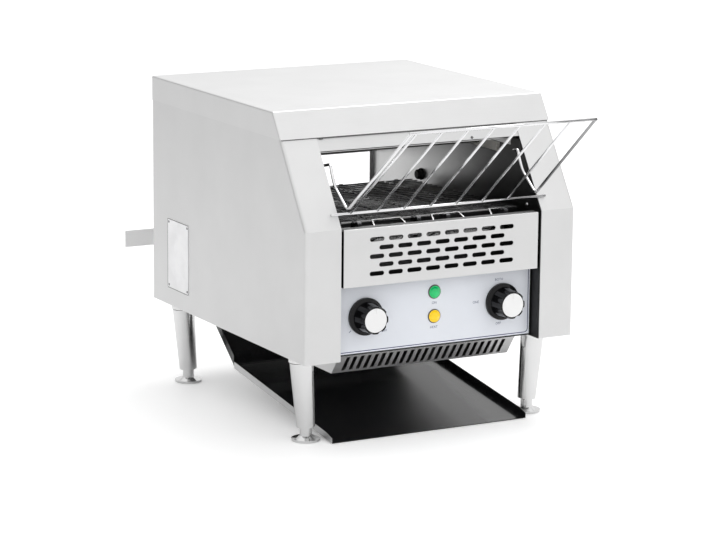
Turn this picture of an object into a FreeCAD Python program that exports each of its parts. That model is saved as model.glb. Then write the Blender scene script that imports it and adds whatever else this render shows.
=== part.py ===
"""Conveyor toaster: a counter-top machine that carries bread on a wire belt between two banks of
heating elements, drops it down a rear chute and returns it to a tray under the body.

Machine frame while modelling: X to the right seen from the front, Y to the rear, Z up,
Y = 0 on the upright front flange and Z = 0 on the counter. The finished pieces are then shifted
along Y, so that the origin is at the middle of the bottom of the whole outline.
Lengths are in millimetres and angles in degrees.
"""
import FreeCAD, Part
import math
import os

Vec = FreeCAD.Vector
X_AXIS = Vec(1, 0, 0)
Y_AXIS = Vec(0, 1, 0)
Z_AXIS = Vec(0, 0, 1)

# Overall body
body_width = 368.0
body_depth = 418.0
overall_height = 387.0
body_bottom = 101.0
bend_height = 258.0
slant_angle = 33.1

# Sheet and clearances
sheet = 1.0
inner_sheet = 0.8
cover_sheet = 1.0
cover_skirt = 30.6
fold_radius = 4.0
cover_edge_radius = 1.8
running_gap = 0.3
fit_gap = 0.05

# Side panels, header and rear panel
flange_width = 47.0
flange_lip = 18.0
top_return = 16.0
header_drop = 46.0
header_lap = 12.0
header_return = 14.0
rear_return = 14.0
window_rise = 10.0
window_margin = 5.0

# Cavity walls and upper reflector
wall_setback = 1.6
cavity_drop = 4.0
header_to_reflector = 1.0
reflector_hem = 9.0

# Perforated panel
perforated_side_gap = 3.0
perforated_low = 188.0
perforated_drop = 1.3
perforated_face = 1.2
perforated_top_return = 11.0
slot_rows = 5
slots_in_long_row = 8
slot_side_margin = 44.0
slot_row_pitch = 10.2
slot_length = 17.0
slot_height = 4.4
slot_end_chords = 4

# Control panel, knobs and lamps
control_recess = 19.0
control_rise = 1.2
control_return = 12.0
film_thickness = 0.4
film_margin = 2.0
knob_inset = 41.6
knob_rise = 45.6
knob_skirt_radius = 22.5
knob_skirt_height = 3.4
knob_grip_radius = 18.6
knob_tip_radius = 16.6
knob_projection = 26.0
knob_flutes = 8
knob_flute_depth = 1.5
knob_flute_radius = 4.6
knob_cap_radius = 14.4
knob_cap_height = 0.8
spindle_radius = 3.0
spindle_in_knob = 14.0
lamp_upper_rise = 20.6
lamp_lower_drop = 9.0
lamp_radius = 7.4
lamp_dome = 3.6
lamp_rim = 1.6
lamp_ledge = 0.9
lamp_body_radius = 5.0
lamp_body_length = 24.0

# Under-body offset of pan, tray and legs to the left of the body's middle
under_offset = -6.5

# Bottom pan with the louvred front
pan_side_gap = 14.2
pan_drop = 23.0
pan_slope_run = 18.0
pan_rear = 270.0
louvre_count = 23
louvre_side_margin = 14.3
louvre_width = 5.0
louvre_margin = 3.2

# Deck and rear wall of the electrical compartment
deck_drop = 41.5
deck_lip = 8.0

# Belt, its shafts and wheels
belt_pitch = 12.7
wheel_teeth = 6
belt_pitch_count = 20
front_shaft_y = 31.0
front_shaft_drop = 10.2
belt_tilt = 1.6
belt_side_gap = 15.2
belt_spaces = 6
strand = 1.8
joint_gap = 1.3
shaft_radius = 4.0
wheel_thickness = 5.0
wheel_tip_over = 2.3
wheel_clearance = 0.15
tooth_tip_angle = 5.0
pocket_half_angle = 10.0
bearing_radius = 12.5
bearing_length = 5.0
shaft_wall_gap = 1.0
shaft_end_play = 0.5

# Belt support between the runs
rail_width = 3.0
rail_height = 5.0
rail_end_clearance = 22.0
cross_bar_height = 4.0
cross_bar_width = 8.0

# Heating elements and their holders
element_radius = 4.0
upper_elements = 3
upper_element_first = 104.0
upper_element_pitch = 84.0
upper_element_drop = 16.0
lower_elements = 2
lower_element_pitch = 84.0
element_overhang = 22.0
holder_thickness = 7.0
holder_margin = 6.0
holder_slot_margin = 2.0

# Chain drive
chain_pitch = 12.7
sprocket_teeth = 8
chain_pitch_count = 8
chain_tilt = 25.0
chain_wall_gap = 16.0
chain_roller = 4.2
chain_inner_width = 5.4
chain_plate = 1.0
chain_plate_height = 8.0
chain_plate_overhang = 2.6
sprocket_thickness = 4.4
sprocket_hub_radius = 9.0
sprocket_hub_length = 6.0
motor_shaft_radius = 4.0
gearbox_size = 44.0
gearbox_length = 26.0
motor_radius = 20.0
motor_length = 38.0

# Cooling fan
fan_size = 80.0
fan_depth = 24.0
fan_bore = 37.5
fan_hub_radius = 17.0
fan_blades = 5
fan_blade_gap = 1.5
fan_blade_thickness = 1.4
fan_blade_pitch = 38.0
fan_inset = 73.2
fan_rise = 51.0
fan_strut = 4.0

# Controls behind the panel
controller_width = 42.0
controller_height = 46.0
controller_depth = 30.0
selector_size = 40.0
selector_depth = 48.0
bushing_radius = 5.0
terminal_length = 60.0
terminal_depth = 18.0
terminal_height = 22.0
terminal_ways = 5
gland_inset = 16.0
gland_rise = 27.0
gland_radius = 10.0
gland_nose_radius = 7.5
gland_head = 6.0
gland_length = 16.0

# Base rails, legs and feet
base_rail_sheet = 1.5
base_rail_upstand = 22.0
base_rail_end_gap = 4.0
leg_inset = 31.0
front_leg_y = 42.0
rear_leg_inset = 53.4
leg_lean = 6.2
leg_collar_radius = 15.3
leg_collar_height = 5.0
leg_top_radius = 14.2
leg_bottom_radius = 11.2
leg_bottom = 17.0
foot_stem_radius = 7.2
foot_stem_top = 52.0
foot_radius = 17.0
foot_rim_height = 3.0
foot_dish_radius = 12.0
foot_dish_floor = 1.6
foot_cone_top = 6.0
foot_travel_room = 6.0

# Tray and chute
tray_over_pan = 12.5
tray_front = 12.0
tray_rear = 272.0
tray_slope = 7.5
tray_lip = 8.5
tray_front_clearance = 0.3
tray_lip_taper = 14.0
chute_sheet = 0.8
chute_side_gap = 0.4
chute_tray_gap = 12.0
chute_step = 1.5
chute_slope = 38.0
chute_cheek = 9.0
chute_ledge = 30.0
chute_top_hem = 10.0

# Feed rack of wire
rack_rod_radius = 1.7
rack_wire_radius = 1.2
rack_rod_overhang = 9.5
rack_rod_height = 274.5
rack_lean = 38.8
rack_length = 182.0
rack_side_gap = 8.0
rack_narrowing = 6.5
rack_wires = 8
rack_first_wire_inset = 5.0
rack_vertex_up = 9.0
rack_arm_behind = 11.5
rack_arm_share = 0.33
rack_pivot_drop = 13.0
rack_hook_through = 4.0

# Rear wall spacers
spacer_reach = 86.0
spacer_height = 21.6
spacer_rise = 61.0
spacer_sheet = 2.0
spacer_inset = 64.0
spacer_foot = 34.0
spacer_bend = 4.0

# Sizes worked out from the ones above
tan_slant = math.tan(math.radians(slant_angle))
cos_slant = math.cos(math.radians(slant_angle))
half_width = body_width / 2
panel_half = half_width - cover_sheet
flange_inner = panel_half - flange_width
wall_inner = flange_inner - inner_sheet
body_top = overall_height - cover_sheet
rear_outer = body_depth - cover_sheet
rear_inner = rear_outer - sheet
header_low = overall_height - header_drop
cavity_top = header_low - cavity_drop
upper_element_height = cavity_top - upper_element_drop
rack_pivot_height = cavity_top - rack_pivot_drop
perforated_high = bend_height - perforated_drop
window_high = bend_height + window_rise
control_low = body_bottom + control_rise
knob_spread = wall_inner - knob_inset
knob_height = control_low + knob_rise
lamp_upper_height = knob_height + lamp_upper_rise
lamp_lower_height = knob_height - lamp_lower_drop
pan_width = 2 * (wall_inner - pan_side_gap)
pan_low = body_bottom - pan_drop
louvre_pitch = (pan_width - 2 * louvre_side_margin) / (louvre_count - 1)
leg_spread = half_width - leg_inset
rear_leg_y = body_depth - rear_leg_inset
tray_width = pan_width + 2 * tray_over_pan
chute_low_y = tray_rear + chute_tray_gap
control_y = control_recess + film_thickness
control_half = wall_inner
belt_radius = belt_pitch / (2 * math.sin(math.pi / wheel_teeth))
belt_width = 2 * (wall_inner - belt_side_gap)
belt_half = belt_width / 2
front_shaft_z = perforated_high - front_shaft_drop
deck_height = front_shaft_z - deck_drop
shaft_distance = belt_pitch_count * belt_pitch
rear_shaft_y = front_shaft_y + shaft_distance * math.cos(math.radians(belt_tilt))
rear_shaft_z = front_shaft_z - shaft_distance * math.sin(math.radians(belt_tilt))
chain_radius = chain_pitch / (2 * math.sin(math.pi / sprocket_teeth))
chain_distance = chain_pitch_count * chain_pitch
chain_x = flange_inner + chain_wall_gap
motor_y = rear_shaft_y - chain_distance * math.sin(math.radians(chain_tilt))
motor_z = rear_shaft_z - chain_distance * math.cos(math.radians(chain_tilt))
shaft_end = flange_inner + bearing_length
tan_tray = math.tan(math.radians(tray_slope))
cos_tray = math.cos(math.radians(tray_slope))
fan_x = fan_inset - wall_inner
fan_height = body_bottom + fan_rise
gland_x = flange_inner + gland_inset
gland_height = body_bottom + gland_rise
rack_side_spread = flange_inner - rack_side_gap
rack_top_spread = rack_side_spread - rack_narrowing
spacer_arm_x = half_width - spacer_inset
spacer_low = body_bottom + spacer_rise - spacer_height / 2
spacer_high = spacer_low + spacer_height


def slant_y(z, behind=0.0):
    """Y of the slanted front at a height, a distance behind its outer face."""
    return (z - bend_height) * tan_slant + behind / cos_slant


rack_rod_y = slant_y(rack_rod_height, -(rack_rod_radius + running_gap))
rack_dir_y = -math.cos(math.radians(rack_lean))
rack_dir_z = math.sin(math.radians(rack_lean))
rack_top_y = rack_rod_y + rack_length * rack_dir_y
rack_top_z = rack_rod_height + rack_length * rack_dir_z
rack_pivot_y = slant_y(rack_pivot_height, rack_arm_behind)
origin_y = (rack_top_y - rack_rod_radius + body_depth + spacer_reach) / 2


# Building blocks

def polygon(points):
    """Closed flat face through the points."""
    return Part.Face(Part.makePolygon(points + [points[0]]))


def prism_x(points, x_low, x_high):
    """Outline of (y, z) points, extruded along X."""
    return polygon([Vec(x_low, y, z) for y, z in points]).extrude(Vec(x_high - x_low, 0, 0))


def prism_y(points, y_low, y_high):
    """Outline of (x, z) points, extruded along Y."""
    return polygon([Vec(x, y_low, z) for x, z in points]).extrude(Vec(0, y_high - y_low, 0))


def prism_z(points, z_low, z_high):
    """Outline of (x, y) points, extruded along Z."""
    return polygon([Vec(x, y, z_low) for x, y in points]).extrude(Vec(0, 0, z_high - z_low))


def block(x_low, x_high, y_low, y_high, z_low, z_high):
    """Box between two corners."""
    return Part.makeBox(x_high - x_low, y_high - y_low, z_high - z_low, Vec(x_low, y_low, z_low))


def disc_x(radius, x_low, x_high, y, z):
    """Cylinder along X."""
    return Part.makeCylinder(radius, x_high - x_low, Vec(x_low, y, z), X_AXIS)


def disc_y(radius, y_low, y_high, x, z):
    """Cylinder along Y."""
    return Part.makeCylinder(radius, y_high - y_low, Vec(x, y_low, z), Y_AXIS)


def disc_z(radius, z_low, z_high, x, y):
    """Cylinder along Z."""
    return Part.makeCylinder(radius, z_high - z_low, Vec(x, y, z_low), Z_AXIS)


def rod(start, end, radius):
    """Straight round wire between two points."""
    run = end.sub(start)
    return Part.makeCylinder(radius, run.Length, start, run)


def fuse(shapes):
    """One solid out of pieces that meet."""
    joined = shapes[0].fuse(shapes[1:]) if len(shapes) > 1 else shapes[0]
    return joined.removeSplitter()


def mirrored(shape):
    """The same shape on the other side of the middle plane."""
    return shape.mirror(Vec(0, 0, 0), X_AXIS)


def edges_where(shape, test):
    """Edges whose end points all pass the test."""
    return [edge for edge in shape.Edges if all(test(vertex.Point) for vertex in edge.Vertexes)]


def near(value, target, slack=0.01):
    return abs(value - target) < slack


def front_outline(behind, z_low, z_high, y_rear):
    """Side view of the body: upright front, slanted front, top and rear."""
    bend = bend_height - behind * math.tan(math.radians(slant_angle / 2))
    return [(behind, z_low), (behind, bend), (slant_y(z_high, behind), z_high),
            (y_rear, z_high), (y_rear, z_low)]


def slot_points(length, height):
    """Round-ended slot about the origin, each end in equal chords."""
    radius = height / 2
    straight = length / 2 - radius
    points = []
    for side in (1, -1):
        for step in range(slot_end_chords + 1):
            angle = math.pi * step / slot_end_chords
            points.append((side * (straight + radius * math.sin(angle)),
                           side * radius * math.cos(angle)))
    return points


def bent_wire(points, radius):
    """Round wire along straight runs with mitred bends."""
    section = Part.Wire(Part.makeCircle(radius, points[0], points[1].sub(points[0])))
    sharp_corners = 1
    return Part.makePolygon(points).makePipeShell([section], True, False, sharp_corners)


# Sheet body

def right_side_panel():
    """Side sheet folded round to the front flange, with returns at top, bottom and inner edge."""
    outer = prism_x(front_outline(0.0, body_bottom, body_top, rear_outer), flange_inner, panel_half)
    outer_fold = edges_where(outer, lambda p: near(p.x, panel_half)
                             and p.y < slant_y(body_top) + 1 and p.y < rear_outer - 1)
    outer = outer.makeFillet(fold_radius, outer_fold)
    inner_half = panel_half - sheet
    low, high = body_bottom + sheet, body_top - sheet
    inner = prism_x(front_outline(sheet, low, high, rear_outer + sheet),
                    flange_inner - sheet, inner_half)
    inner_fold = edges_where(inner, lambda p: near(p.x, inner_half)
                             and p.y < slant_y(high, sheet) + 1 and p.y < rear_outer - 1)
    inner = inner.makeFillet(fold_radius - sheet, inner_fold)
    top_opening = block(flange_inner - sheet, panel_half - top_return,
                        slant_y(body_top, sheet), rear_outer + sheet, high - sheet, body_top + sheet)
    lip = block(flange_inner, flange_inner + sheet, sheet / 2, flange_lip,
                body_bottom, bend_height - flange_lip)
    return fuse([outer.cut(inner).cut(top_opening), lip])


def top_cover():
    """Folded lid: flat top and a skirt all round, its front skirt on the slant."""
    low = overall_height - cover_skirt

    def solid(inset, bottom):
        top = overall_height - inset
        front = inset - cover_sheet
        outline = [(slant_y(bottom, front), bottom), (slant_y(top, front), top),
                   (body_depth - inset, top), (body_depth - inset, bottom)]
        return prism_x(outline, -half_width + inset, half_width - inset)

    outer = solid(0.0, low)
    upper_edges = [edge for edge in outer.Edges
                   if any(near(vertex.Point.z, overall_height) for vertex in edge.Vertexes)]
    outer = outer.makeFillet(cover_edge_radius, upper_edges)
    return outer.cut(solid(cover_sheet, low - cover_sheet))


def header_strip():
    """Strip over the feed opening, behind the flanges, with a return along its lower edge."""
    back_y = slant_y(header_low, 2 * sheet) + header_return
    header_high = body_top - sheet
    outline = [(slant_y(header_low, sheet), header_low), (slant_y(header_high, sheet), header_high),
               (slant_y(header_high, 2 * sheet), header_high),
               (slant_y(header_low + sheet, 2 * sheet), header_low + sheet),
               (back_y, header_low + sheet), (back_y, header_low)]
    return prism_x(outline, -flange_inner - header_lap, flange_inner + header_lap)


def rear_panel():
    """Rear sheet with the see-through window and forward returns along its sides and top."""
    half = panel_half - sheet
    plate = block(-half, half, rear_inner, rear_outer, body_bottom + sheet, body_top - sheet)
    window_half = wall_inner - window_margin
    plate = plate.cut(block(-window_half, window_half, rear_inner - 1, rear_outer + 1,
                            deck_height, window_high))
    gland_hole = disc_y(gland_nose_radius, rear_inner - 1, rear_outer + 1, gland_x, gland_height)
    plate = plate.cut(gland_hole)
    side = block(half - sheet, half, rear_outer - rear_return, rear_inner + sheet / 2,
                 body_bottom + sheet, body_top - sheet)
    return fuse([plate, side, mirrored(side)])


def cavity_wall(motor_side):
    """Inner side wall of the baking cavity and of the electrical compartment, on the right."""
    outline = front_outline(wall_setback, body_bottom, cavity_top, rear_inner)
    wall = prism_x(outline, wall_inner, flange_inner)
    shaft_hole = shaft_radius + shaft_wall_gap
    cutters = [disc_x(shaft_hole, wall_inner - 1, flange_inner + 1, front_shaft_y, front_shaft_z),
               disc_x(shaft_hole, wall_inner - 1, flange_inner + 1, rear_shaft_y, rear_shaft_z),
               disc_x(rack_rod_radius + fit_gap, wall_inner - 1, flange_inner + 1,
                      rack_pivot_y, rack_pivot_height)]
    for y_low, y_high, z in (upper_element_span(), lower_element_span()):
        reach = element_radius + holder_slot_margin
        cutters.append(block(wall_inner - 1, flange_inner + 1, y_low - reach, y_high + reach,
                             z - reach, z + reach))
    if motor_side:
        cutters.append(disc_x(motor_shaft_radius + 2, wall_inner - 1, flange_inner + 1,
                              motor_y, motor_z))
    return wall.cut(cutters[0].multiFuse(cutters[1:]))


def upper_reflector():
    """Reflector sheet over the upper elements, with turned-down hems at its sides."""
    y_front = slant_y(header_low, 2 * sheet) + header_return + header_to_reflector
    top = block(-wall_inner, wall_inner, y_front, rear_inner, cavity_top - inner_sheet, cavity_top)
    hem = block(wall_inner - inner_sheet, wall_inner, y_front, rear_inner,
                cavity_top - reflector_hem, cavity_top)
    return fuse([top, hem, mirrored(hem)])


def perforated_panel():
    """Front panel under the feed opening, with five staggered rows of round-ended slots."""
    half = wall_inner - perforated_side_gap
    face_back = perforated_face + sheet
    plate = block(-half, half, perforated_face, face_back, perforated_low, perforated_high)
    cutters = []
    slot_pitch = 2 * (half - slot_side_margin) / (slots_in_long_row - 1)
    block_height = (slot_rows - 1) * slot_row_pitch
    top_row = (perforated_low + perforated_high) / 2 + block_height / 2
    for row in range(slot_rows):
        count = slots_in_long_row - row % 2
        for column in range(count):
            x = (column - (count - 1) / 2) * slot_pitch
            z = top_row - row * slot_row_pitch
            outline = [(x + along, z + up) for along, up in slot_points(slot_length, slot_height)]
            cutters.append(prism_y(outline, perforated_face - sheet, face_back + sheet))
    plate = plate.cut(cutters)
    back = control_y
    upper = block(-half, half, face_back - sheet, face_back + perforated_top_return,
                  perforated_high - sheet, perforated_high)
    lower = block(-half, half, face_back - sheet, back, perforated_low, perforated_low + sheet)
    side = block(half - sheet, half, face_back - sheet, face_back + perforated_top_return,
                 perforated_low, perforated_high)
    folded = fuse([plate, upper, lower, side, mirrored(side)])
    top_edge = edges_where(folded, lambda p: near(p.y, perforated_face) and near(p.z, perforated_high))
    return folded.makeFillet(sheet * 0.9, top_edge)


def control_panel():
    """Recessed panel that carries the knobs and lamps, with returns to the rear all round."""
    high = perforated_low + sheet + control_return
    plate = block(-control_half, control_half, control_y, control_y + sheet, control_low, high)
    side = block(control_half - sheet, control_half, control_y, control_y + control_return,
                 control_low + sheet, high)
    panel = fuse([plate, side, mirrored(side)])
    for x in (-knob_spread, knob_spread):
        panel = panel.cut(disc_y(bushing_radius, control_y - 1, control_y + sheet + 1, x, knob_height))
    for z in (lamp_upper_height, lamp_lower_height):
        panel = panel.cut(disc_y(lamp_body_radius, control_y - 1, control_y + sheet + 1, 0, z))
    return panel


def panel_film():
    """Printed film on the control panel."""
    half = control_half - film_margin
    film = block(-half, half, control_recess, control_y, control_low + film_margin, perforated_low)
    for x in (-knob_spread, knob_spread):
        film = film.cut(disc_y(bushing_radius, control_recess - 1, control_y + 1, x, knob_height))
    for z in (lamp_upper_height, lamp_lower_height):
        film = film.cut(disc_y(lamp_body_radius, control_recess - 1, control_y + 1, 0, z))
    return film


def bottom_pan():
    """Pan under the electrical compartment; its front slopes down and back and is louvred."""
    x_low = under_offset - pan_width / 2
    x_high = under_offset + pan_width / 2
    front = control_y + sheet

    def solid(inset, top):
        outline = [(front + inset, top), (front + inset, control_low),
                   (front + pan_slope_run + inset, pan_low + inset),
                   (pan_rear - inset, pan_low + inset), (pan_rear - inset, top)]
        return prism_x(outline, x_low + inset, x_high - inset)

    pan = solid(0.0, control_low + sheet).cut(solid(inner_sheet, control_low + 2 * sheet))
    slope = math.hypot(pan_slope_run, control_low - pan_low)
    down = Vec(0, pan_slope_run / slope, (pan_low - control_low) / slope)
    inward = Vec(0, -down.z, down.y)
    half = louvre_width / 2
    first = under_offset - (louvre_count - 1) / 2 * louvre_pitch
    cutters = []
    for index in range(louvre_count):
        x = first + index * louvre_pitch
        start = Vec(x, front, control_low).sub(inward * inner_sheet)
        corners = [start.add(Vec(across, 0, 0)).add(down * along) for across, along in
                   ((-half, louvre_margin), (half, louvre_margin),
                    (half, slope - louvre_margin), (-half, slope - louvre_margin))]
        cutters.append(polygon(corners).extrude(inward * (3 * inner_sheet)))
    pan = pan.cut(cutters)
    flange_z = control_low + sheet
    rim = block(-wall_inner, x_low + inner_sheet, front, pan_rear, flange_z - inner_sheet, flange_z)
    other_rim = block(x_high - inner_sheet, wall_inner, front, pan_rear,
                      flange_z - inner_sheet, flange_z)
    return fuse([pan, rim, other_rim])


def compartment_deck():
    """Deck over the electrical compartment, which also catches crumbs under the belt."""
    front = control_y + sheet + running_gap
    top = block(-wall_inner, wall_inner, front, pan_rear, deck_height - inner_sheet, deck_height)
    lip = block(-wall_inner, wall_inner, pan_rear - inner_sheet, pan_rear,
                deck_height, deck_height + deck_lip)
    return fuse([top, lip])


def compartment_wall():
    """Rear wall of the electrical compartment, with the fan's opening."""
    bottom = control_low + sheet
    wall = block(-wall_inner, wall_inner, pan_rear - inner_sheet, pan_rear,
                 bottom, deck_height - inner_sheet)
    return wall.cut(disc_y(fan_bore, pan_rear - 5, pan_rear + 5, fan_x, fan_height))


def right_base_rail():
    """Folded rail on the bottom return of the side panel, against the cavity wall."""
    low = body_bottom + sheet
    strip = block(flange_inner, panel_half - 2 * sheet - running_gap, flange_lip + base_rail_end_gap,
                  rear_inner - base_rail_end_gap, low, low + base_rail_sheet)
    upstand = block(flange_inner, flange_inner + base_rail_sheet, flange_lip + base_rail_end_gap,
                    rear_inner - base_rail_end_gap, low, low + base_rail_upstand)
    return fuse([strip, upstand])


def right_spacer():
    """Bent strap that keeps the rear of the machine clear of a wall."""
    back = body_depth + spacer_reach
    t = spacer_sheet
    arm = spacer_arm_x
    outline = [(arm - spacer_foot, rear_outer), (arm + t, rear_outer), (arm + t, back - t),
               (half_width, back - t), (half_width, back), (arm, back),
               (arm, rear_outer + t), (arm - spacer_foot, rear_outer + t)]
    strap = prism_z(outline, spacer_low, spacer_high)
    outer_bend = edges_where(strap, lambda p: near(p.x, arm) and near(p.y, back))
    inner_bend = edges_where(strap, lambda p: near(p.x, arm + t) and near(p.y, back - t))
    strap = strap.makeFillet(spacer_bend, outer_bend)
    inner_bend = edges_where(strap, lambda p: near(p.x, arm + t) and near(p.y, back - t))
    strap = strap.makeFillet(spacer_bend - t, inner_bend)
    inside = edges_where(strap, lambda p: near(p.x, arm) and near(p.y, rear_outer + t))
    strap = strap.makeFillet(spacer_bend - t, inside)
    outside = edges_where(strap, lambda p: near(p.x, arm + t) and near(p.y, rear_outer))
    return strap.makeFillet(spacer_bend, outside)


# Belt and its drive

def loop_points(front, distance, tilt, radius, spans, teeth):
    """Points one pitch apart round two equal wheels, in (y, z), from the top of the front wheel."""
    along = (math.cos(math.radians(tilt)), -math.sin(math.radians(tilt)))
    normal = (-along[1], along[0])
    points = []
    step = distance / spans

    def add(centre_along, angle):
        run = centre_along + radius * math.sin(angle)
        rise = radius * math.cos(angle)
        points.append((front[0] + along[0] * run + normal[0] * rise,
                       front[1] + along[1] * run + normal[1] * rise))

    for index in range(spans):
        add(index * step, 0.0)
    for index in range(teeth // 2):
        add(distance, index * 2 * math.pi / teeth)
    for index in range(spans):
        add(distance - index * step, math.pi)
    for index in range(teeth // 2):
        add(0.0, math.pi + index * 2 * math.pi / teeth)
    return points


def belt_loop():
    return loop_points((front_shaft_y, front_shaft_z), shaft_distance, belt_tilt, belt_radius,
                       belt_pitch_count, wheel_teeth)


def strand_outline(start_low):
    """Stepped strip in (x, u): it runs on one pitch line, then steps over to the next."""
    space = belt_width / belt_spaces
    half = strand / 2
    centre = [(-belt_half, 0.0 if start_low else belt_pitch)]
    on_low = start_low
    for joint in range(1, belt_spaces):
        x = -belt_half + joint * space
        level = 0.0 if on_low else belt_pitch
        other = belt_pitch if on_low else 0.0
        centre.append((x - joint_gap, level))
        centre.append((x + joint_gap, other))
        on_low = not on_low
    centre.append((belt_half, 0.0 if on_low else belt_pitch))
    upper, lower = [], []
    for index, (x, u) in enumerate(centre):
        shift = 0.0
        if 0 < index < len(centre) - 1:
            neighbour = centre[index + 1] if index % 2 else centre[index - 1]
            rising = (neighbour[1] - u) * (neighbour[0] - x) > 0
            shift = -half * 0.75 if rising else half * 0.75
        upper.append((x + shift, u + half))
        lower.append((x - shift, u - half))
    return upper + lower[::-1]


def wire_belt():
    """Stepped strands, each on two neighbouring pitch lines, closed into a loop."""
    points = belt_loop()
    strands = []
    for index, (y, z) in enumerate(points):
        y_next, z_next = points[(index + 1) % len(points)]
        along = Vec(0, y_next - y, z_next - z).normalize()
        normal = X_AXIS.cross(along)
        origin = Vec(0, y, z).sub(normal * (strand / 2))
        corners = [origin.add(Vec(x, 0, 0)).add(along * u) for x, u in strand_outline(True)]
        strands.append(polygon(corners).extrude(normal * strand))
    return strands


def toothed_outline(y, z, turn, pocket_radius, tip_radius, teeth, pocket_half, tip_half):
    """Wheel outline in (y, z): flat-bottomed pockets at the rungs and blunt teeth between."""
    points = []
    for tooth in range(teeth):
        rung = math.radians(turn) + tooth * 2 * math.pi / teeth
        crest = rung + math.pi / teeth
        for radius, angle in ((pocket_radius, rung - math.radians(pocket_half)),
                              (pocket_radius, rung + math.radians(pocket_half)),
                              (tip_radius, crest - math.radians(tip_half)),
                              (tip_radius, crest + math.radians(tip_half))):
            points.append((y + radius * math.sin(angle), z + radius * math.cos(angle)))
    return points


def belt_wheels(y, z):
    """Toothed wheels of one shaft, each in the middle of a belt space."""
    space = belt_width / belt_spaces
    pocket = belt_radius - strand / math.sqrt(2) - wheel_clearance
    outline = toothed_outline(y, z, belt_tilt, pocket, belt_radius + wheel_tip_over,
                              wheel_teeth, pocket_half_angle, tooth_tip_angle)
    wheels = []
    for spaces_off_middle in (-2.5, -0.5, 0.5, 2.5):
        x = spaces_off_middle * space
        wheel = prism_x(outline, x - wheel_thickness / 2, x + wheel_thickness / 2)
        wheels.append(wheel.cut(disc_x(shaft_radius + fit_gap, x - wheel_thickness,
                                       x + wheel_thickness, y, z)))
    return wheels


def bearing(y, z):
    """Flanged bearing ring on the outer face of the right cavity wall."""
    ring = disc_x(bearing_radius, flange_inner, flange_inner + bearing_length, y, z)
    return ring.cut(disc_x(shaft_radius + fit_gap, flange_inner - 1,
                           flange_inner + bearing_length + 1, y, z))


def shaft_bearings():
    right = [bearing(front_shaft_y, front_shaft_z), bearing(rear_shaft_y, rear_shaft_z)]
    return right + [mirrored(shape) for shape in right]


def belt_support():
    """Rails that carry the upper run, on cross bars between the cavity walls."""
    along = (math.cos(math.radians(belt_tilt)), -math.sin(math.radians(belt_tilt)))
    normal = (-along[1], along[0])
    top = belt_radius - strand / 2 - fit_gap

    def at(run, rise):
        return (front_shaft_y + along[0] * run + normal[0] * rise,
                front_shaft_z + along[1] * run + normal[1] * rise)

    low = top - rail_height
    first, last = rail_end_clearance, shaft_distance - rail_end_clearance
    pieces = []
    for x in (-belt_half / 2, belt_half / 2):
        outline = [at(first, low), at(last, low), at(last, top), at(first, top)]
        pieces.append(prism_x(outline, x - rail_width / 2, x + rail_width / 2))
    for run in (first, last - cross_bar_width):
        outline = [at(run, low - cross_bar_height), at(run + cross_bar_width, low - cross_bar_height),
                   at(run + cross_bar_width, low), at(run, low)]
        pieces.append(prism_x(outline, -wall_inner, wall_inner))
    return pieces


def drive_shaft():
    return disc_x(shaft_radius, -shaft_end - shaft_end_play,
                  chain_x + sprocket_thickness / 2 + sprocket_hub_length, rear_shaft_y, rear_shaft_z)


def idler_shaft():
    return disc_x(shaft_radius, -shaft_end - shaft_end_play, shaft_end + shaft_end_play,
                  front_shaft_y, front_shaft_z)


def sprocket(y, z, bore_radius):
    """Chain sprocket with its hub on the outer side."""
    roller = chain_roller / 2
    pocket = chain_radius - roller - fit_gap * 3
    outline = toothed_outline(y, z, 180 - chain_tilt_turn(), pocket, chain_radius + roller * 0.8,
                              sprocket_teeth, 5.5, 3.0)
    half = sprocket_thickness / 2
    disc = prism_x(outline, chain_x - half, chain_x + half)
    hub = disc_x(sprocket_hub_radius, chain_x + half, chain_x + half + sprocket_hub_length - 1, y, z)
    bore = disc_x(bore_radius + fit_gap, chain_x - 10, chain_x + 20, y, z)
    return fuse([disc, hub]).cut(bore)


def chain_tilt_turn():
    """Turn of the chain's run from the machine's Y axis."""
    return 90.0 - chain_tilt


def drive_chain():
    """Roller chain: one link per pitch, inner and outer plates by turns."""
    points = loop_points((motor_y, motor_z), chain_distance, -chain_tilt_turn(), chain_radius,
                         chain_pitch_count, sprocket_teeth)
    links = []
    for index, (y, z) in enumerate(points):
        y_next, z_next = points[(index + 1) % len(points)]
        along = Vec(0, y_next - y, z_next - z).normalize()
        normal = X_AXIS.cross(along)
        lap = chain_plate + fit_gap
        shift = lap if index % 2 else 0.0
        inner_face = chain_inner_width / 2 + shift
        half = chain_plate_height / 2
        reach = chain_plate_overhang
        outline = [(-reach, -half), (chain_pitch + reach, -half), (chain_pitch + reach, half),
                   (-reach, half)]
        pieces = []
        for x in (chain_x - inner_face - chain_plate, chain_x + inner_face):
            corners = [Vec(x, y, z).add(along * run).add(normal * rise) for run, rise in outline]
            pieces.append(polygon(corners).extrude(Vec(chain_plate, 0, 0)))
        links.append(pieces)
    return [plate for pieces in links for plate in pieces]


def gear_motor():
    """Motor and gearbox on the inner face of the right cavity wall."""
    half = gearbox_size / 2
    box_low = wall_inner - gearbox_length
    gearbox = block(box_low, wall_inner, motor_y - half, motor_y + half,
                    motor_z - half, motor_z + half)
    corner_edges = [edge for edge in gearbox.Edges
                    if near(abs(edge.tangentAt(edge.FirstParameter).x), 1.0)]
    gearbox = gearbox.makeFillet(gearbox_size / 10, corner_edges)
    can = disc_x(motor_radius, box_low - motor_length, box_low, motor_y, motor_z)
    bore = disc_x(motor_shaft_radius + fit_gap, box_low + gearbox_length / 3, wall_inner + 1,
                  motor_y, motor_z)
    return fuse([gearbox, can]).cut(bore)


def motor_shaft():
    return disc_x(motor_shaft_radius, wall_inner - gearbox_length / 2,
                  chain_x + sprocket_thickness / 2 + sprocket_hub_length, motor_y, motor_z)


# Heating

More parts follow.
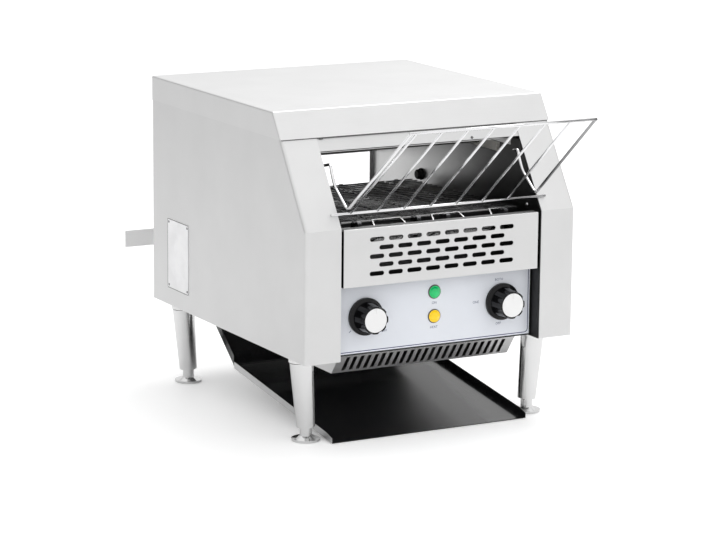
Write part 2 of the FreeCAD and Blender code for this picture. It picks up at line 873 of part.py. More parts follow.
def upper_element_span():
    last = upper_element_first + (upper_elements - 1) * upper_element_pitch
    return upper_element_first, last, upper_element_height


def lower_element_span():
    middle_y = (front_shaft_y + rear_shaft_y) / 2
    middle_z = (front_shaft_z + rear_shaft_z) / 2
    half = (lower_elements - 1) * lower_element_pitch / 2
    return middle_y - half, middle_y + half, middle_z - element_radius / 2


def element_rods(span, count):
    """Straight tubular elements across the cavity."""
    y_low, y_high, z = span
    pitch = (y_high - y_low) / (count - 1)
    end = flange_inner + element_overhang
    return [disc_x(element_radius, -end, end, y_low + index * pitch, z) for index in range(count)]


def element_holder(span, count):
    """Ceramic bar outside the right cavity wall, with a hole for each element."""
    y_low, y_high, z = span
    pitch = (y_high - y_low) / (count - 1)
    reach = element_radius + holder_slot_margin + holder_margin / 2
    bar = block(flange_inner, flange_inner + holder_thickness, y_low - reach, y_high + reach,
                z - reach, z + reach)
    for index in range(count):
        bar = bar.cut(disc_x(element_radius + fit_gap, flange_inner - 1,
                             flange_inner + holder_thickness + 1, y_low + index * pitch, z))
    return bar


def element_holders():
    right = [element_holder(upper_element_span(), upper_elements),
             element_holder(lower_element_span(), lower_elements)]
    return right + [mirrored(shape) for shape in right]


# Controls and cooling

def knob(x):
    """Skirted knob with a fluted grip, turned on its spindle's axis."""
    base = control_recess - running_gap
    tip = base - knob_projection
    skirt_top = base - knob_skirt_height
    profile = [Vec(0, base, 0), Vec(knob_skirt_radius, base, 0),
               Vec(knob_skirt_radius, skirt_top, 0), Vec(knob_grip_radius, skirt_top - 2.5, 0),
               Vec(knob_tip_radius, tip, 0),
               Vec(0, tip, 0)]
    body = Part.Face(Part.makePolygon(profile + [profile[0]])).revolve(Vec(0, 0, 0), Y_AXIS, 360)
    reach = knob_tip_radius + knob_flute_radius - knob_flute_depth
    cutters = []
    for index in range(knob_flutes):
        angle = (index + 0.5) * 2 * math.pi / knob_flutes
        cutters.append(disc_y(knob_flute_radius, tip - 1, skirt_top - 2.5,
                              reach * math.sin(angle), reach * math.cos(angle)))
    body = body.cut(cutters)
    body = body.cut(disc_y(knob_cap_radius + fit_gap, tip - 1, tip + knob_cap_height, 0, 0))
    body = body.cut(disc_y(spindle_radius + fit_gap, base - spindle_in_knob, base + 1, 0, 0))
    body.translate(Vec(x, 0, knob_height))
    return body


def knob_cap(x):
    """Pale disc let into the knob's face, with a pointer notch at its top edge."""
    tip = control_recess - running_gap - knob_projection
    cap = disc_y(knob_cap_radius, tip - 0.2, tip + knob_cap_height, x, knob_height)
    notch = block(x - 0.9, x + 0.9, tip - 1, tip + 0.4,
                  knob_height + knob_cap_radius * 0.55, knob_height + knob_cap_radius + 1)
    return cap.cut(notch)


def spindle(x, depth):
    """Spindle from the control behind the panel into the knob."""
    base = control_recess - running_gap
    return disc_y(spindle_radius, base - spindle_in_knob + 1, control_y + sheet + depth / 2,
                  x, knob_height)


def control_body(x, width, height, depth):
    """Housing of a rotary control with its threaded bushing through the panel."""
    back = control_y + sheet
    body = block(x - width / 2, x + width / 2, back, back + depth,
                 knob_height - height / 2, knob_height + height / 2)
    bushing = disc_y(bushing_radius - fit_gap, control_recess + 0.2, back, x, knob_height)
    bore = disc_y(spindle_radius + fit_gap, control_recess - 1, back + depth / 2 + 1, x, knob_height)
    return fuse([body, bushing]).cut(bore)


def lamp_lens(z):
    """Domed lens with a rim on the film."""
    rim = control_recess - lamp_rim
    dome_edge = lamp_radius - lamp_ledge
    ball = (dome_edge ** 2 + lamp_dome ** 2) / (2 * lamp_dome)
    foot_ring = disc_y(lamp_radius, rim, control_recess, 0, z)
    sphere = Part.makeSphere(ball, Vec(0, rim - lamp_dome + ball, z))
    return fuse([foot_ring, sphere.common(disc_y(lamp_radius, rim - lamp_dome, rim, 0, z))])


def lamp_body(z):
    """Lamp holder through the panel, behind its lens."""
    return disc_y(lamp_body_radius - fit_gap, control_recess, control_y + lamp_body_length, 0, z)


def fan_frame():
    """Square fan housing with a round duct, struts and a motor seat."""
    back = pan_rear - inner_sheet
    half = fan_size / 2
    frame = block(fan_x - half, fan_x + half, back - fan_depth, back, fan_height - half, fan_height + half)
    frame = frame.cut(disc_y(fan_bore, back - fan_depth - 1, back + 1, fan_x, fan_height))
    seat = disc_y(fan_hub_radius, back - fan_depth, back - fan_depth + 3, fan_x, fan_height)
    across = block(fan_x - half + 1, fan_x + half - 1, back - fan_depth, back - fan_depth + 3,
                   fan_height - fan_strut / 2, fan_height + fan_strut / 2)
    upright = block(fan_x - fan_strut / 2, fan_x + fan_strut / 2, back - fan_depth,
                    back - fan_depth + 3, fan_height - half + 1, fan_height + half - 1)
    pin = disc_y(2.0, back - fan_depth, back - 6, fan_x, fan_height)
    return fuse([frame, seat, across, upright, pin])


def fan_rotor():
    """Fan hub with pitched blades, turning on the frame's pin."""
    back = pan_rear - inner_sheet
    front = back - fan_depth + 3 + running_gap
    rear = back - 3
    hub = disc_y(fan_hub_radius, front, rear, fan_x, fan_height)
    blade_length = fan_bore - fan_blade_gap
    pieces = [hub]
    for index in range(fan_blades):
        blade = block(fan_hub_radius - 2, blade_length, -fan_blade_thickness / 2,
                      fan_blade_thickness / 2, -8.0, 8.0)
        blade.rotate(Vec(0, 0, 0), X_AXIS, fan_blade_pitch)
        blade.rotate(Vec(0, 0, 0), Y_AXIS, index * 360.0 / fan_blades)
        blade.translate(Vec(fan_x, (front + rear) / 2, fan_height))
        pieces.append(blade)
    rotor = fuse(pieces)
    duct = disc_y(blade_length, front + 0.5, rear, fan_x, fan_height)
    bore = disc_y(2.0 + fit_gap, front - 1, back - 5, fan_x, fan_height)
    return rotor.common(duct).cut(bore)


def terminal_block():
    """Terminal strip on the compartment's pan, with a recess for each way."""
    back = pan_rear - inner_sheet - 6
    low = control_low + sheet
    x_low = fan_x + fan_size / 2 + 12
    strip = block(x_low, x_low + terminal_length, back - terminal_depth, pan_rear - inner_sheet,
                  low + 20, low + 20 + terminal_height)
    way = terminal_length / terminal_ways
    for index in range(terminal_ways):
        strip = strip.cut(block(x_low + index * way + 2, x_low + (index + 1) * way - 2,
                                back - terminal_depth - 1, back - terminal_depth + 6,
                                low + 25, low + 15 + terminal_height))
    return strip


def cord_inlet():
    """Blanked cord gland through the rear panel."""
    head = disc_y(gland_radius, rear_outer, rear_outer + gland_head, gland_x, gland_height)
    nose = disc_y(gland_nose_radius, rear_outer, rear_outer + gland_length, gland_x, gland_height)
    thread = disc_y(gland_nose_radius - fit_gap, rear_inner - gland_head, rear_outer,
                    gland_x, gland_height)
    return fuse([head, nose, thread])


# Legs and feet

def leg(side, y):
    """Tapered leg under the side panel's return: collar, leaning taper and a bore for the foot."""
    x_foot = under_offset + side * leg_spread
    x_top = x_foot + side * leg_lean
    collar_low = body_bottom - leg_collar_height
    collar = disc_z(leg_collar_radius, collar_low, body_bottom, x_top, y)
    low_end = Vec(x_foot, y, leg_bottom)
    axis = Vec(x_top, y, collar_low).sub(low_end)
    taper = Part.makeCone(leg_bottom_radius, leg_top_radius, axis.Length, low_end, axis)
    bore = disc_z(foot_stem_radius + fit_gap, leg_bottom - leg_lean, foot_stem_top + foot_travel_room,
                  x_foot, y)
    return fuse([taper, collar]).cut(bore)


def foot(side, y):
    """Adjustable foot: stem and a dished disc."""
    profile = [(0.0, 0.0), (foot_radius, 0.0), (foot_radius, foot_rim_height),
               (foot_dish_radius, foot_dish_floor), (foot_stem_radius, foot_cone_top),
               (foot_stem_radius, foot_stem_top), (0.0, foot_stem_top)]
    points = [Vec(radius, 0, z) for radius, z in profile]
    solid = polygon(points).revolve(Vec(0, 0, 0), Z_AXIS, 360)
    solid.translate(Vec(under_offset + side * leg_spread, y, 0))
    return solid


# Tray and chute

def tray_z(y, above=0.0):
    """Height over the tray's sloping underside."""
    return tray_front_clearance + (y - tray_front) * tan_tray + above / cos_tray


def bread_tray():
    """Sloping tray with side lips that taper at the front."""
    x_low = under_offset - tray_width / 2
    x_high = under_offset + tray_width / 2
    floor = prism_x([(tray_front, tray_z(tray_front)), (tray_rear, tray_z(tray_rear)),
                     (tray_rear, tray_z(tray_rear, inner_sheet)),
                     (tray_front, tray_z(tray_front, inner_sheet))], x_low, x_high)
    lip = [(tray_front, tray_z(tray_front)), (tray_rear, tray_z(tray_rear)),
           (tray_rear, tray_z(tray_rear, tray_lip)),
           (tray_front + tray_lip_taper, tray_z(tray_front + tray_lip_taper, tray_lip)),
           (tray_front, tray_z(tray_front, tray_lip * 0.75))]
    left = prism_x(lip, x_low, x_low + inner_sheet)
    right = prism_x(lip, x_high - inner_sheet, x_high)
    return fuse([floor, left, right])


def rear_chute():
    """Chute from the rear panel down to the tray, with a ledge that carries the tray's rear."""
    half = wall_inner - chute_side_gap
    t = chute_sheet
    tan_chute = math.tan(math.radians(chute_slope))
    cos_chute = math.cos(math.radians(chute_slope))
    step_top = tray_z(tray_rear, inner_sheet) + chute_step
    ledge_y = tray_rear - chute_ledge
    top_y = rear_inner
    top_z = step_top + (top_y - chute_low_y) * tan_chute
    under = t / cos_chute
    outline = [(chute_low_y, step_top), (top_y - t, top_z - t * tan_chute),
               (top_y - t, top_z + chute_top_hem), (top_y, top_z + chute_top_hem),
               (top_y, top_z - under), (chute_low_y + t, step_top - under + t * tan_chute),
               (chute_low_y + t, tray_z(chute_low_y + t) - running_gap - t),
               (ledge_y, tray_z(ledge_y) - running_gap - t),
               (ledge_y, tray_z(ledge_y) - running_gap),
               (chute_low_y, tray_z(chute_low_y) - running_gap)]
    sheet_part = prism_x(outline, -half, half)
    cheek_outline = [(chute_low_y, step_top), (top_y - t, top_z - t * tan_chute),
                     (top_y - t, top_z - t * tan_chute + chute_cheek / cos_chute),
                     (chute_low_y, step_top + chute_cheek / cos_chute)]
    cheek = prism_x(cheek_outline, half - t, half)
    return fuse([sheet_part, cheek, mirrored(cheek)])


# Feed rack

def bread_rack():
    """Wire rack that leans out over the front and hooks into the cavity walls."""
    def at(x_low, distance):
        """Point on the rack's plane; the wires draw together towards the top rod."""
        narrowing = 1 - (1 - rack_top_spread / rack_side_spread) * distance / rack_length
        return Vec(x_low * narrowing, rack_rod_y + rack_dir_y * distance,
                   rack_rod_height + rack_dir_z * distance)

    touch = rack_rod_radius
    half = flange_inner + rack_rod_overhang
    top_half = rack_top_spread + rack_rod_radius
    top = at(0, rack_length)
    pieces = [rod(Vec(-half, rack_rod_y, rack_rod_height), Vec(half, rack_rod_y, rack_rod_height),
                  rack_rod_radius),
              rod(Vec(-top_half, top.y, top.z), Vec(top_half, top.y, top.z), rack_rod_radius)]
    spacing = 2 * rack_side_spread / (rack_wires - 1)
    places = [-rack_side_spread + rack_first_wire_inset]
    places += [-rack_side_spread + spacing * index for index in range(1, rack_wires - 1)]
    for x in places:
        pieces.append(rod(at(x, touch), at(x, rack_length - touch), rack_wire_radius))
    vertex = at(rack_side_spread, rack_vertex_up)
    rack_arm_low = vertex.z + rack_arm_share * (rack_pivot_height - vertex.z)
    arm_y = slant_y(rack_arm_low, rack_arm_behind)
    end = flange_inner + rack_hook_through
    frame = bent_wire([at(rack_side_spread, rack_length - touch), vertex,
                       Vec(vertex.x, arm_y, rack_arm_low),
                       Vec(vertex.x, rack_pivot_y, rack_pivot_height),
                       Vec(end, rack_pivot_y, rack_pivot_height)], rack_rod_radius)
    return pieces + [frame, mirrored(frame)]


# All nodes: name to one solid or a list of separate solids

def build_nodes():
    nodes = {
        "top_cover": top_cover(),
        "right_side_panel": right_side_panel(),
        "left_side_panel": mirrored(right_side_panel()),
        "header_strip": header_strip(),
        "rear_panel": rear_panel(),
        "right_cavity_wall": cavity_wall(True),
        "left_cavity_wall": mirrored(cavity_wall(False)),
        "upper_reflector": upper_reflector(),
        "perforated_panel": perforated_panel(),
        "control_panel": control_panel(),
        "panel_film": panel_film(),
        "bottom_pan": bottom_pan(),
        "compartment_deck": compartment_deck(),
        "compartment_wall": compartment_wall(),
        "right_base_rail": right_base_rail(),
        "left_base_rail": mirrored(right_base_rail()),
        "rear_spacers": [right_spacer(), mirrored(right_spacer())],
        "wire_belt": wire_belt(),
        "belt_support": belt_support(),
        "shaft_bearings": shaft_bearings(),
        "drive_shaft": drive_shaft(),
        "drive_wheels": belt_wheels(rear_shaft_y, rear_shaft_z),
        "shaft_sprocket": sprocket(rear_shaft_y, rear_shaft_z, shaft_radius),
        "idler_shaft": idler_shaft(),
        "idler_wheels": belt_wheels(front_shaft_y, front_shaft_z),
        "drive_chain": drive_chain(),
        "motor_shaft": motor_shaft(),
        "motor_sprocket": sprocket(motor_y, motor_z, motor_shaft_radius),
        "gear_motor": gear_motor(),
        "upper_elements": element_rods(upper_element_span(), upper_elements),
        "lower_elements": element_rods(lower_element_span(), lower_elements),
        "element_holders": element_holders(),
        "speed_knob": knob(-knob_spread),
        "speed_knob_cap": knob_cap(-knob_spread),
        "speed_spindle": spindle(-knob_spread, controller_depth),
        "speed_controller": control_body(-knob_spread, controller_width, controller_height,
                                         controller_depth),
        "selector_knob": knob(knob_spread),
        "selector_knob_cap": knob_cap(knob_spread),
        "selector_spindle": spindle(knob_spread, selector_depth),
        "selector_switch": control_body(knob_spread, selector_size, selector_size, selector_depth),
        "lamp_holders": [lamp_body(lamp_upper_height), lamp_body(lamp_lower_height)],
        "green_lamp": lamp_lens(lamp_upper_height),
        "yellow_lamp": lamp_lens(lamp_lower_height),
        "fan_frame": fan_frame(),
        "fan_rotor": fan_rotor(),
        "terminal_block": terminal_block(),
        "cord_inlet": cord_inlet(),
        "bread_tray": bread_tray(),
        "rear_chute": rear_chute(),
        "bread_rack": bread_rack(),
    }
    for side, side_name in ((-1, "left"), (1, "right")):
        for y, end_name in ((front_leg_y, "front"), (rear_leg_y, "rear")):
            nodes[f"{end_name}_{side_name}_leg"] = leg(side, y)
            nodes[f"{end_name}_{side_name}_foot"] = foot(side, y)
    return nodes


def main():
    os.makedirs("parts", exist_ok=True)
    for name, content in build_nodes().items():
        solids = []
        for shape in content if isinstance(content, list) else [content]:
            solids.extend(shape.Solids)
        part = solids[0] if len(solids) == 1 else Part.makeCompound(solids)
        part = part.copy()
        part.translate(Vec(0, -origin_y, 0))
        if not part.isValid():
            print("not valid:", name)
        part.exportStep(f"parts/{name}.step")


main()
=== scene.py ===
"""Looks of the conveyor toaster: materials, small trim, light and the photograph's camera.

Everything is in metres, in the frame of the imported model: X to the right seen from the front,
Y to the rear and Z up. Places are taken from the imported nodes' boxes.
"""

import math

import bmesh
import bpy
from mathutils import Matrix, Vector


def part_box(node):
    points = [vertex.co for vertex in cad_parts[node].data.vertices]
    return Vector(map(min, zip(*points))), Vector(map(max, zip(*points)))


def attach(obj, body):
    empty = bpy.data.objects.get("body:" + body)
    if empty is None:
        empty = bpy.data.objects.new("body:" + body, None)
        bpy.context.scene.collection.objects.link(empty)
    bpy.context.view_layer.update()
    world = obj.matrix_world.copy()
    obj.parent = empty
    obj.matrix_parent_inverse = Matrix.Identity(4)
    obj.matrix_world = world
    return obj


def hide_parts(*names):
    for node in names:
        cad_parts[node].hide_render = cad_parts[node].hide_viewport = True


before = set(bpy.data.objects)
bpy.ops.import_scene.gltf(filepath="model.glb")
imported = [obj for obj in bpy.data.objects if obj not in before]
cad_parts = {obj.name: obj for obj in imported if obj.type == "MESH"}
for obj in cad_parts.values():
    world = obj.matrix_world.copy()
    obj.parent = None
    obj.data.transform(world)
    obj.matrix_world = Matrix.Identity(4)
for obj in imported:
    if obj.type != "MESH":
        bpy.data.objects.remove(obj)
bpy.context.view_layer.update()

MM = 0.001

# Camera, as fitted to the photograph: angles in degrees, lens and sensor in mm
CAMERA_PLACE = Vector((-1.7058, -3.0894, 0.9001))
CAMERA_AZIMUTH = -28.72
CAMERA_ELEVATION = 11.79
CAMERA_ROLL = 0.53
CAMERA_LENS = 146.6
CAMERA_SENSOR = 36.0

# The front flanges, as in the CAD: upright up to the bend, then slanted back
SLANT = math.radians(33.1)
BEND_HEIGHT = 258.0 * MM
FRONT_Y = -184.41 * MM

# Places taken from the CAD
film_low, film_high = (Vector(corner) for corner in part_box("panel_film"))
cover_low = Vector(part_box("top_cover")[0])
side_low = Vector(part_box("left_side_panel")[0])
rear_low, rear_high = (Vector(corner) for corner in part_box("rear_panel"))
header_low = Vector(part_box("header_strip")[0])


def slant_point(x, z, out=0.0):
    """Point in front of the slanted face at a height, a distance outside it."""
    return Vector((x, FRONT_Y + (z - BEND_HEIGHT) * math.tan(SLANT) - out / math.cos(SLANT), z))


def centre(node):
    """Middle of a node's box."""
    low, high = (Vector(corner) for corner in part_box(node))
    return (low + high) / 2


# Materials

# Part of a pattern's range that is spread over the tints, and over the roughness
TINT_RANGE = (0.32, 0.68)
ROUGHNESS_RANGE = (0.3, 0.7)

# Depth of the relief in steel and lenses, in moulded plastic and in stoved enamel
GRAIN_DEPTH = 0.05 * MM
PLASTIC_DEPTH = 0.06 * MM
PEEL_DEPTH = 0.10 * MM

# Where painted shade and painted dark reflections lie on the steel, and how deep they are
WALL_SHADE_Y = (-0.10, 0.20)
WALL_TONES = (0.07, 0.95)
LIP_X = 137.3 * MM
LIP_BEHIND = 1.2 * MM
LIP_BELOW = 2.0 * MM
LIP_SHADE = 0.88
PANEL_BEHIND = 0.9 * MM
PANEL_BELOW = 2.0 * MM
PANEL_SHADE = 0.94
RACK_SHADE_X = (0.112, 0.126)
RACK_SHADE_Y = (-0.20, -0.185)
RACK_SHADE = 0.75


def new_material(name):
    """Material with its principled shader and object coordinates in metres."""
    material = bpy.data.materials.new(name)
    material.use_nodes = True
    nodes = material.node_tree.nodes
    shader = nodes["Principled BSDF"]
    coords = nodes.new("ShaderNodeTexCoord")
    return material, nodes, material.node_tree.links, shader, coords.outputs["Object"]


def noise(nodes, links, coords, scale, detail=3.0, stretch=(1.0, 1.0, 1.0), roughness=0.55):
    """Noise pattern; stretch multiplies the frequency along each axis."""
    mapping = nodes.new("ShaderNodeMapping")
    mapping.inputs["Scale"].default_value = stretch
    links.new(coords, mapping.inputs["Vector"])
    texture = nodes.new("ShaderNodeTexNoise")
    texture.inputs["Scale"].default_value = scale
    texture.inputs["Detail"].default_value = detail
    texture.inputs["Roughness"].default_value = roughness
    links.new(mapping.outputs["Vector"], texture.inputs["Vector"])
    return texture.outputs["Fac"]


def mapped(nodes, links, value, start, end, low, high, interpolation="LINEAR"):
    """Value taken from start..end to low..high."""
    mapping = nodes.new("ShaderNodeMapRange")
    mapping.interpolation_type = interpolation
    mapping.inputs["From Min"].default_value = start
    mapping.inputs["From Max"].default_value = end
    mapping.inputs["To Min"].default_value = low
    mapping.inputs["To Max"].default_value = high
    links.new(value, mapping.inputs["Value"])
    return mapping.outputs["Result"]


def tint(nodes, links, value, dark, light):
    """Colour between dark and light, led by a pattern."""
    ramp = nodes.new("ShaderNodeValToRGB")
    for index, colour in enumerate((dark, light)):
        ramp.color_ramp.elements[index].position = TINT_RANGE[index]
        ramp.color_ramp.elements[index].color = (*colour, 1.0)
    links.new(value, ramp.inputs["Fac"])
    return ramp.outputs["Color"]


def surface(nodes, links, shader, colours, pattern, low, high):
    """Base colour, and a roughness from low to high that a pattern leads."""
    roughness = mapped(nodes, links, pattern, *ROUGHNESS_RANGE, low, high)
    links.new(colours, shader.inputs["Base Color"])
    links.new(roughness, shader.inputs["Roughness"])


def bump(nodes, links, shader, value, strength, distance):
    """Relief of the surface, led by a pattern."""
    node = nodes.new("ShaderNodeBump")
    node.inputs["Strength"].default_value = strength
    node.inputs["Distance"].default_value = distance
    links.new(value, node.inputs["Height"])
    links.new(node.outputs["Normal"], shader.inputs["Normal"])


def axes_of(nodes, links, vector):
    """A vector's X, Y and Z sockets."""
    parts = nodes.new("ShaderNodeSeparateXYZ")
    links.new(vector, parts.inputs["Vector"])
    return parts.outputs


def along_axis(nodes, links, coords, axis, start, end, low, high):
    """Value that goes smoothly from low to high between two places on an axis."""
    value = axes_of(nodes, links, coords)[axis]
    return mapped(nodes, links, value, start, end, low, high, "SMOOTHSTEP")


def worked(nodes, links, operation, first, second):
    """Maths node on two values or sockets."""
    node = nodes.new("ShaderNodeMath")
    node.operation = operation
    for socket, value in zip(node.inputs, (first, second)):
        if isinstance(value, (int, float)):
            socket.default_value = value
        else:
            links.new(value, socket)
    return node.outputs["Value"]


def darkened(nodes, links, depth, *masks):
    """Factor of 1, less the depth where every mask is 1."""
    mask = masks[0]
    for other in masks[1:]:
        mask = worked(nodes, links, "MULTIPLY", mask, other)
    return worked(nodes, links, "SUBTRACT", 1.0, worked(nodes, links, "MULTIPLY", mask, depth))


def wall_shade(nodes, links, coords):
    """Cavity walls: painted shade and dark reflection, dark towards the feed opening, light towards
    the window.
    """
    return along_axis(nodes, links, coords, "Y", *WALL_SHADE_Y, *WALL_TONES)


def lip_shade(nodes, links, coords):
    """Painted shade: the flange's inner lip beside the control panel lies in the dark."""
    axes = axes_of(nodes, links, coords)
    across = worked(nodes, links, "ABSOLUTE", axes["X"], 0.0)
    inner = worked(nodes, links, "LESS_THAN", across, LIP_X)
    behind = worked(nodes, links, "GREATER_THAN", axes["Y"], FRONT_Y + LIP_BEHIND)
    low = worked(nodes, links, "LESS_THAN", axes["Z"], BEND_HEIGHT - LIP_BELOW)
    return darkened(nodes, links, LIP_SHADE, inner, behind, low)


def panel_shade(nodes, links, coords):
    """Painted shade inside the slotted panel; its face and top edge stay light."""
    face_y, top_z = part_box("perforated_panel")[0][1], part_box("perforated_panel")[1][2]
    axes = axes_of(nodes, links, coords)
    behind = worked(nodes, links, "GREATER_THAN", axes["Y"], face_y + PANEL_BEHIND)
    low = worked(nodes, links, "LESS_THAN", axes["Z"], top_z - PANEL_BELOW)
    return darkened(nodes, links, PANEL_SHADE, behind, low)


def rack_shade(nodes, links, coords):
    """Painted dark reflection on the right frame wire, where it stands out over the front."""
    right = along_axis(nodes, links, coords, "X", *RACK_SHADE_X, 0.0, 1.0)
    out = along_axis(nodes, links, coords, "Y", *RACK_SHADE_Y, 1.0, 0.0)
    return darkened(nodes, links, RACK_SHADE, right, out)


def shaded(colour, factor):
    """Colour times a factor."""
    return tuple(channel * factor for channel in colour)


def grey(tone):
    """Grey colour of a tone."""
    return (tone, tone, tone)


def mottled(nodes, links, pattern, colour, mottle):
    """Colour that a pattern varies by a share of itself, up and down."""
    return tint(nodes, links, pattern, shaded(colour, 1 - mottle), shaded(colour, 1 + mottle))


def steel(name, colour, roughness, grain=(1, 60, 60), mottle=0.05, relief=0.12, shade=None):
    """Brushed sheet: fine grain along one axis over a broad, faint mottle."""
    material, nodes, links, shader, coords = new_material(name)
    fine = noise(nodes, links, coords, scale=28.0, detail=4.0, stretch=grain)
    broad = noise(nodes, links, coords, scale=16.0)
    pattern = worked(nodes, links, "MULTIPLY", worked(nodes, links, "ADD", fine, broad), 0.5)
    colours = mottled(nodes, links, pattern, colour, mottle)
    # The shade function darkens the colour with painted shade or a painted dark reflection
    if shade:
        scaled = nodes.new("ShaderNodeVectorMath")
        scaled.operation = "SCALE"
        links.new(colours, scaled.inputs[0])
        links.new(shade(nodes, links, coords), scaled.inputs["Scale"])
        colours = scaled.outputs["Vector"]
    surface(nodes, links, shader, colours, fine, roughness * 0.85, roughness * 1.15)
    shader.inputs["Metallic"].default_value = 1.0
    bump(nodes, links, shader, fine, relief, GRAIN_DEPTH)
    return material


def enamel(name, colour, roughness, relief=0.05):
    """Glossy stoved enamel with faint orange peel."""
    material, nodes, links, shader, coords = new_material(name)
    peel = noise(nodes, links, coords, scale=240.0, detail=2.0)
    broad = noise(nodes, links, coords, scale=18.0)
    colours = mottled(nodes, links, broad, colour, 0.2)
    surface(nodes, links, shader, colours, broad, roughness * 0.8, roughness * 1.3)
    shader.inputs["Coat Weight"].default_value = 0.5
    shader.inputs["Coat Roughness"].default_value = 0.06
    bump(nodes, links, shader, peel, relief, PEEL_DEPTH)
    return material


def plastic(name, colour, roughness, relief=0.06, scale=420.0, coat=0.0, shine=0.5,
            mottle=0.06):
    """Moulded plastic with a fine spark-eroded grain."""
    material, nodes, links, shader, coords = new_material(name)
    grain = noise(nodes, links, coords, scale)
    broad = noise(nodes, links, coords, scale=40.0, detail=2.0)
    colours = mottled(nodes, links, broad, colour, mottle)
    surface(nodes, links, shader, colours, grain, roughness * 0.85, roughness * 1.2)
    shader.inputs["Coat Weight"].default_value = coat
    shader.inputs["Coat Roughness"].default_value = 0.08
    shader.inputs["Specular IOR Level"].default_value = shine
    bump(nodes, links, shader, grain, relief, PLASTIC_DEPTH)
    return material


def lamp_plastic(name, colour, glow):
    """Clear coloured lens, a little lit."""
    material, nodes, links, shader, coords = new_material(name)
    grain = noise(nodes, links, coords, scale=300.0, detail=2.0)
    colours = tint(nodes, links, grain, shaded(colour, 0.9), colour)
    surface(nodes, links, shader, colours, grain, 0.12, 0.2)
    links.new(colours, shader.inputs["Emission Color"])
    shader.inputs["Emission Strength"].default_value = glow
    shader.inputs["Coat Weight"].default_value = 0.6
    bump(nodes, links, shader, grain, 0.04, GRAIN_DEPTH)
    return material


MATERIALS = {
    "cover": steel("cover_steel", grey(0.776), 0.42, mottle=0.03),
    "skin": steel("skin_steel", grey(0.708), 0.42, mottle=0.03),
    "skin_side": steel("side_steel", grey(0.760), 0.46, grain=(60, 1, 60), mottle=0.03,
                       shade=lip_shade),
    "perforated": steel("perforated_steel", grey(0.750), 0.42, mottle=0.03,
                        shade=panel_shade),
    "strap": steel("strap_steel", grey(0.970), 0.45, mottle=0.03),
    "inner": steel("inner_steel", grey(0.62), 0.34, grain=(60, 1, 60)),
    "wall": steel("wall_steel", grey(0.70), 0.36, grain=(60, 1, 60), mottle=0.08,
                  shade=wall_shade),
    "pan": steel("pan_steel", grey(0.66), 0.40),
    # Near-black deck, belt support and control panel: painted shade of the closed cavity
    "deck": steel("deck_painted_shade", grey(0.05), 0.45, mottle=0.2),
    "film": plastic("film_plastic", (0.852, 0.879, 0.938), 0.42, relief=0.03, scale=900.0,
                    mottle=0.01),
    "plate": plastic("plate_face", (0.95, 0.95, 0.96), 0.45, relief=0.03, scale=700.0),
    "belt": steel("belt_steel", grey(0.62), 0.22, grain=(8, 8, 8), mottle=0.06,
                  relief=0.02),
    "chrome": steel("rack_chrome", (0.90, 0.90, 0.91), 0.13, grain=(10, 10, 10), mottle=0.03,
                    relief=0.02, shade=rack_shade),
    # Dark steel: painted shade on the shafts and wheels inside the cavity; the rivets and rear
    # screws share it
    "shaft": steel("shaft_steel", (0.13, 0.13, 0.135), 0.28, grain=(60, 1, 1), mottle=0.1),
    "leg": steel("leg_steel", grey(0.760), 0.16, grain=(40, 40, 1), mottle=0.05,
                 relief=0.05),
    "black": enamel("tray_enamel", (0.010, 0.010, 0.011), 0.16),
    "tray_edge": steel("tray_edge_steel", grey(0.70), 0.40, mottle=0.04),
    "knob": plastic("knob_plastic", (0.006, 0.006, 0.007), 0.16, coat=0.25, shine=0.12),
    "cap": plastic("cap_plastic", grey(0.93), 0.40, mottle=0.02),
    "green": lamp_plastic("green_lens", (0.00, 0.55, 0.15), 0.25),
    "yellow": lamp_plastic("yellow_lens", (1.00, 0.66, 0.00), 0.25),
    "element": plastic("element_oxide", (0.09, 0.085, 0.08), 0.55, relief=0.12, scale=260.0),
    "ceramic": plastic("ceramic_white", (0.72, 0.70, 0.66), 0.70, relief=0.10),
    "motor": enamel("motor_paint", (0.20, 0.21, 0.22), 0.40),
    "dark": plastic("dark_plastic", grey(0.02), 0.55, shine=0.2),
    "ink": plastic("panel_ink", (0.05, 0.06, 0.16), 0.45),
    # Dark grey of the bare plate's printed line and the header screw, and painted shadow under the
    # cover's skirt
    "line": plastic("dark_line_and_seam_shadow", grey(0.16), 0.60, shine=0.1),
    "lamp_ring": plastic("lamp_ring", (0.10, 0.10, 0.09), 0.35),
}

NODE_LOOKS = {
    "cover": ["top_cover"],
    "skin": ["header_strip", "rear_panel"],
    "skin_side": ["left_side_panel", "right_side_panel"],
    "perforated": ["perforated_panel"],
    "strap": ["rear_spacers"],
    "inner": ["upper_reflector", "right_base_rail", "left_base_rail", "compartment_wall"],
    "wall": ["right_cavity_wall", "left_cavity_wall"],
    "pan": ["bottom_pan"],
    "deck": ["compartment_deck", "belt_support", "control_panel"],
    "film": ["panel_film"],
    "belt": ["wire_belt", "drive_chain"],
    "chrome": ["bread_rack"],
    "shaft": ["drive_shaft", "drive_wheels", "shaft_sprocket", "idler_shaft", "idler_wheels",
              "motor_shaft", "motor_sprocket", "shaft_bearings", "speed_spindle",
              "selector_spindle"],
    "leg": [f"{end}_{side}_{part}" for end in ("front", "rear") for side in ("left", "right")
            for part in ("leg", "foot")],
    "black": ["bread_tray", "rear_chute"],
    "knob": ["speed_knob", "selector_knob"],
    "cap": ["speed_knob_cap", "selector_knob_cap"],
    "green": ["green_lamp"],
    "yellow": ["yellow_lamp"],
    "element": ["upper_elements", "lower_elements"],
    "ceramic": ["element_holders"],
    "motor": ["gear_motor"],
    "dark": ["speed_controller", "selector_switch", "lamp_holders", "fan_frame", "fan_rotor",
             "terminal_block", "cord_inlet"],
}


def dress_nodes():
    """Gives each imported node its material."""
    for look, names in NODE_LOOKS.items():
        for name in names:
            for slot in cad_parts[name].material_slots:
                slot.material = MATERIALS[look]


# New pieces

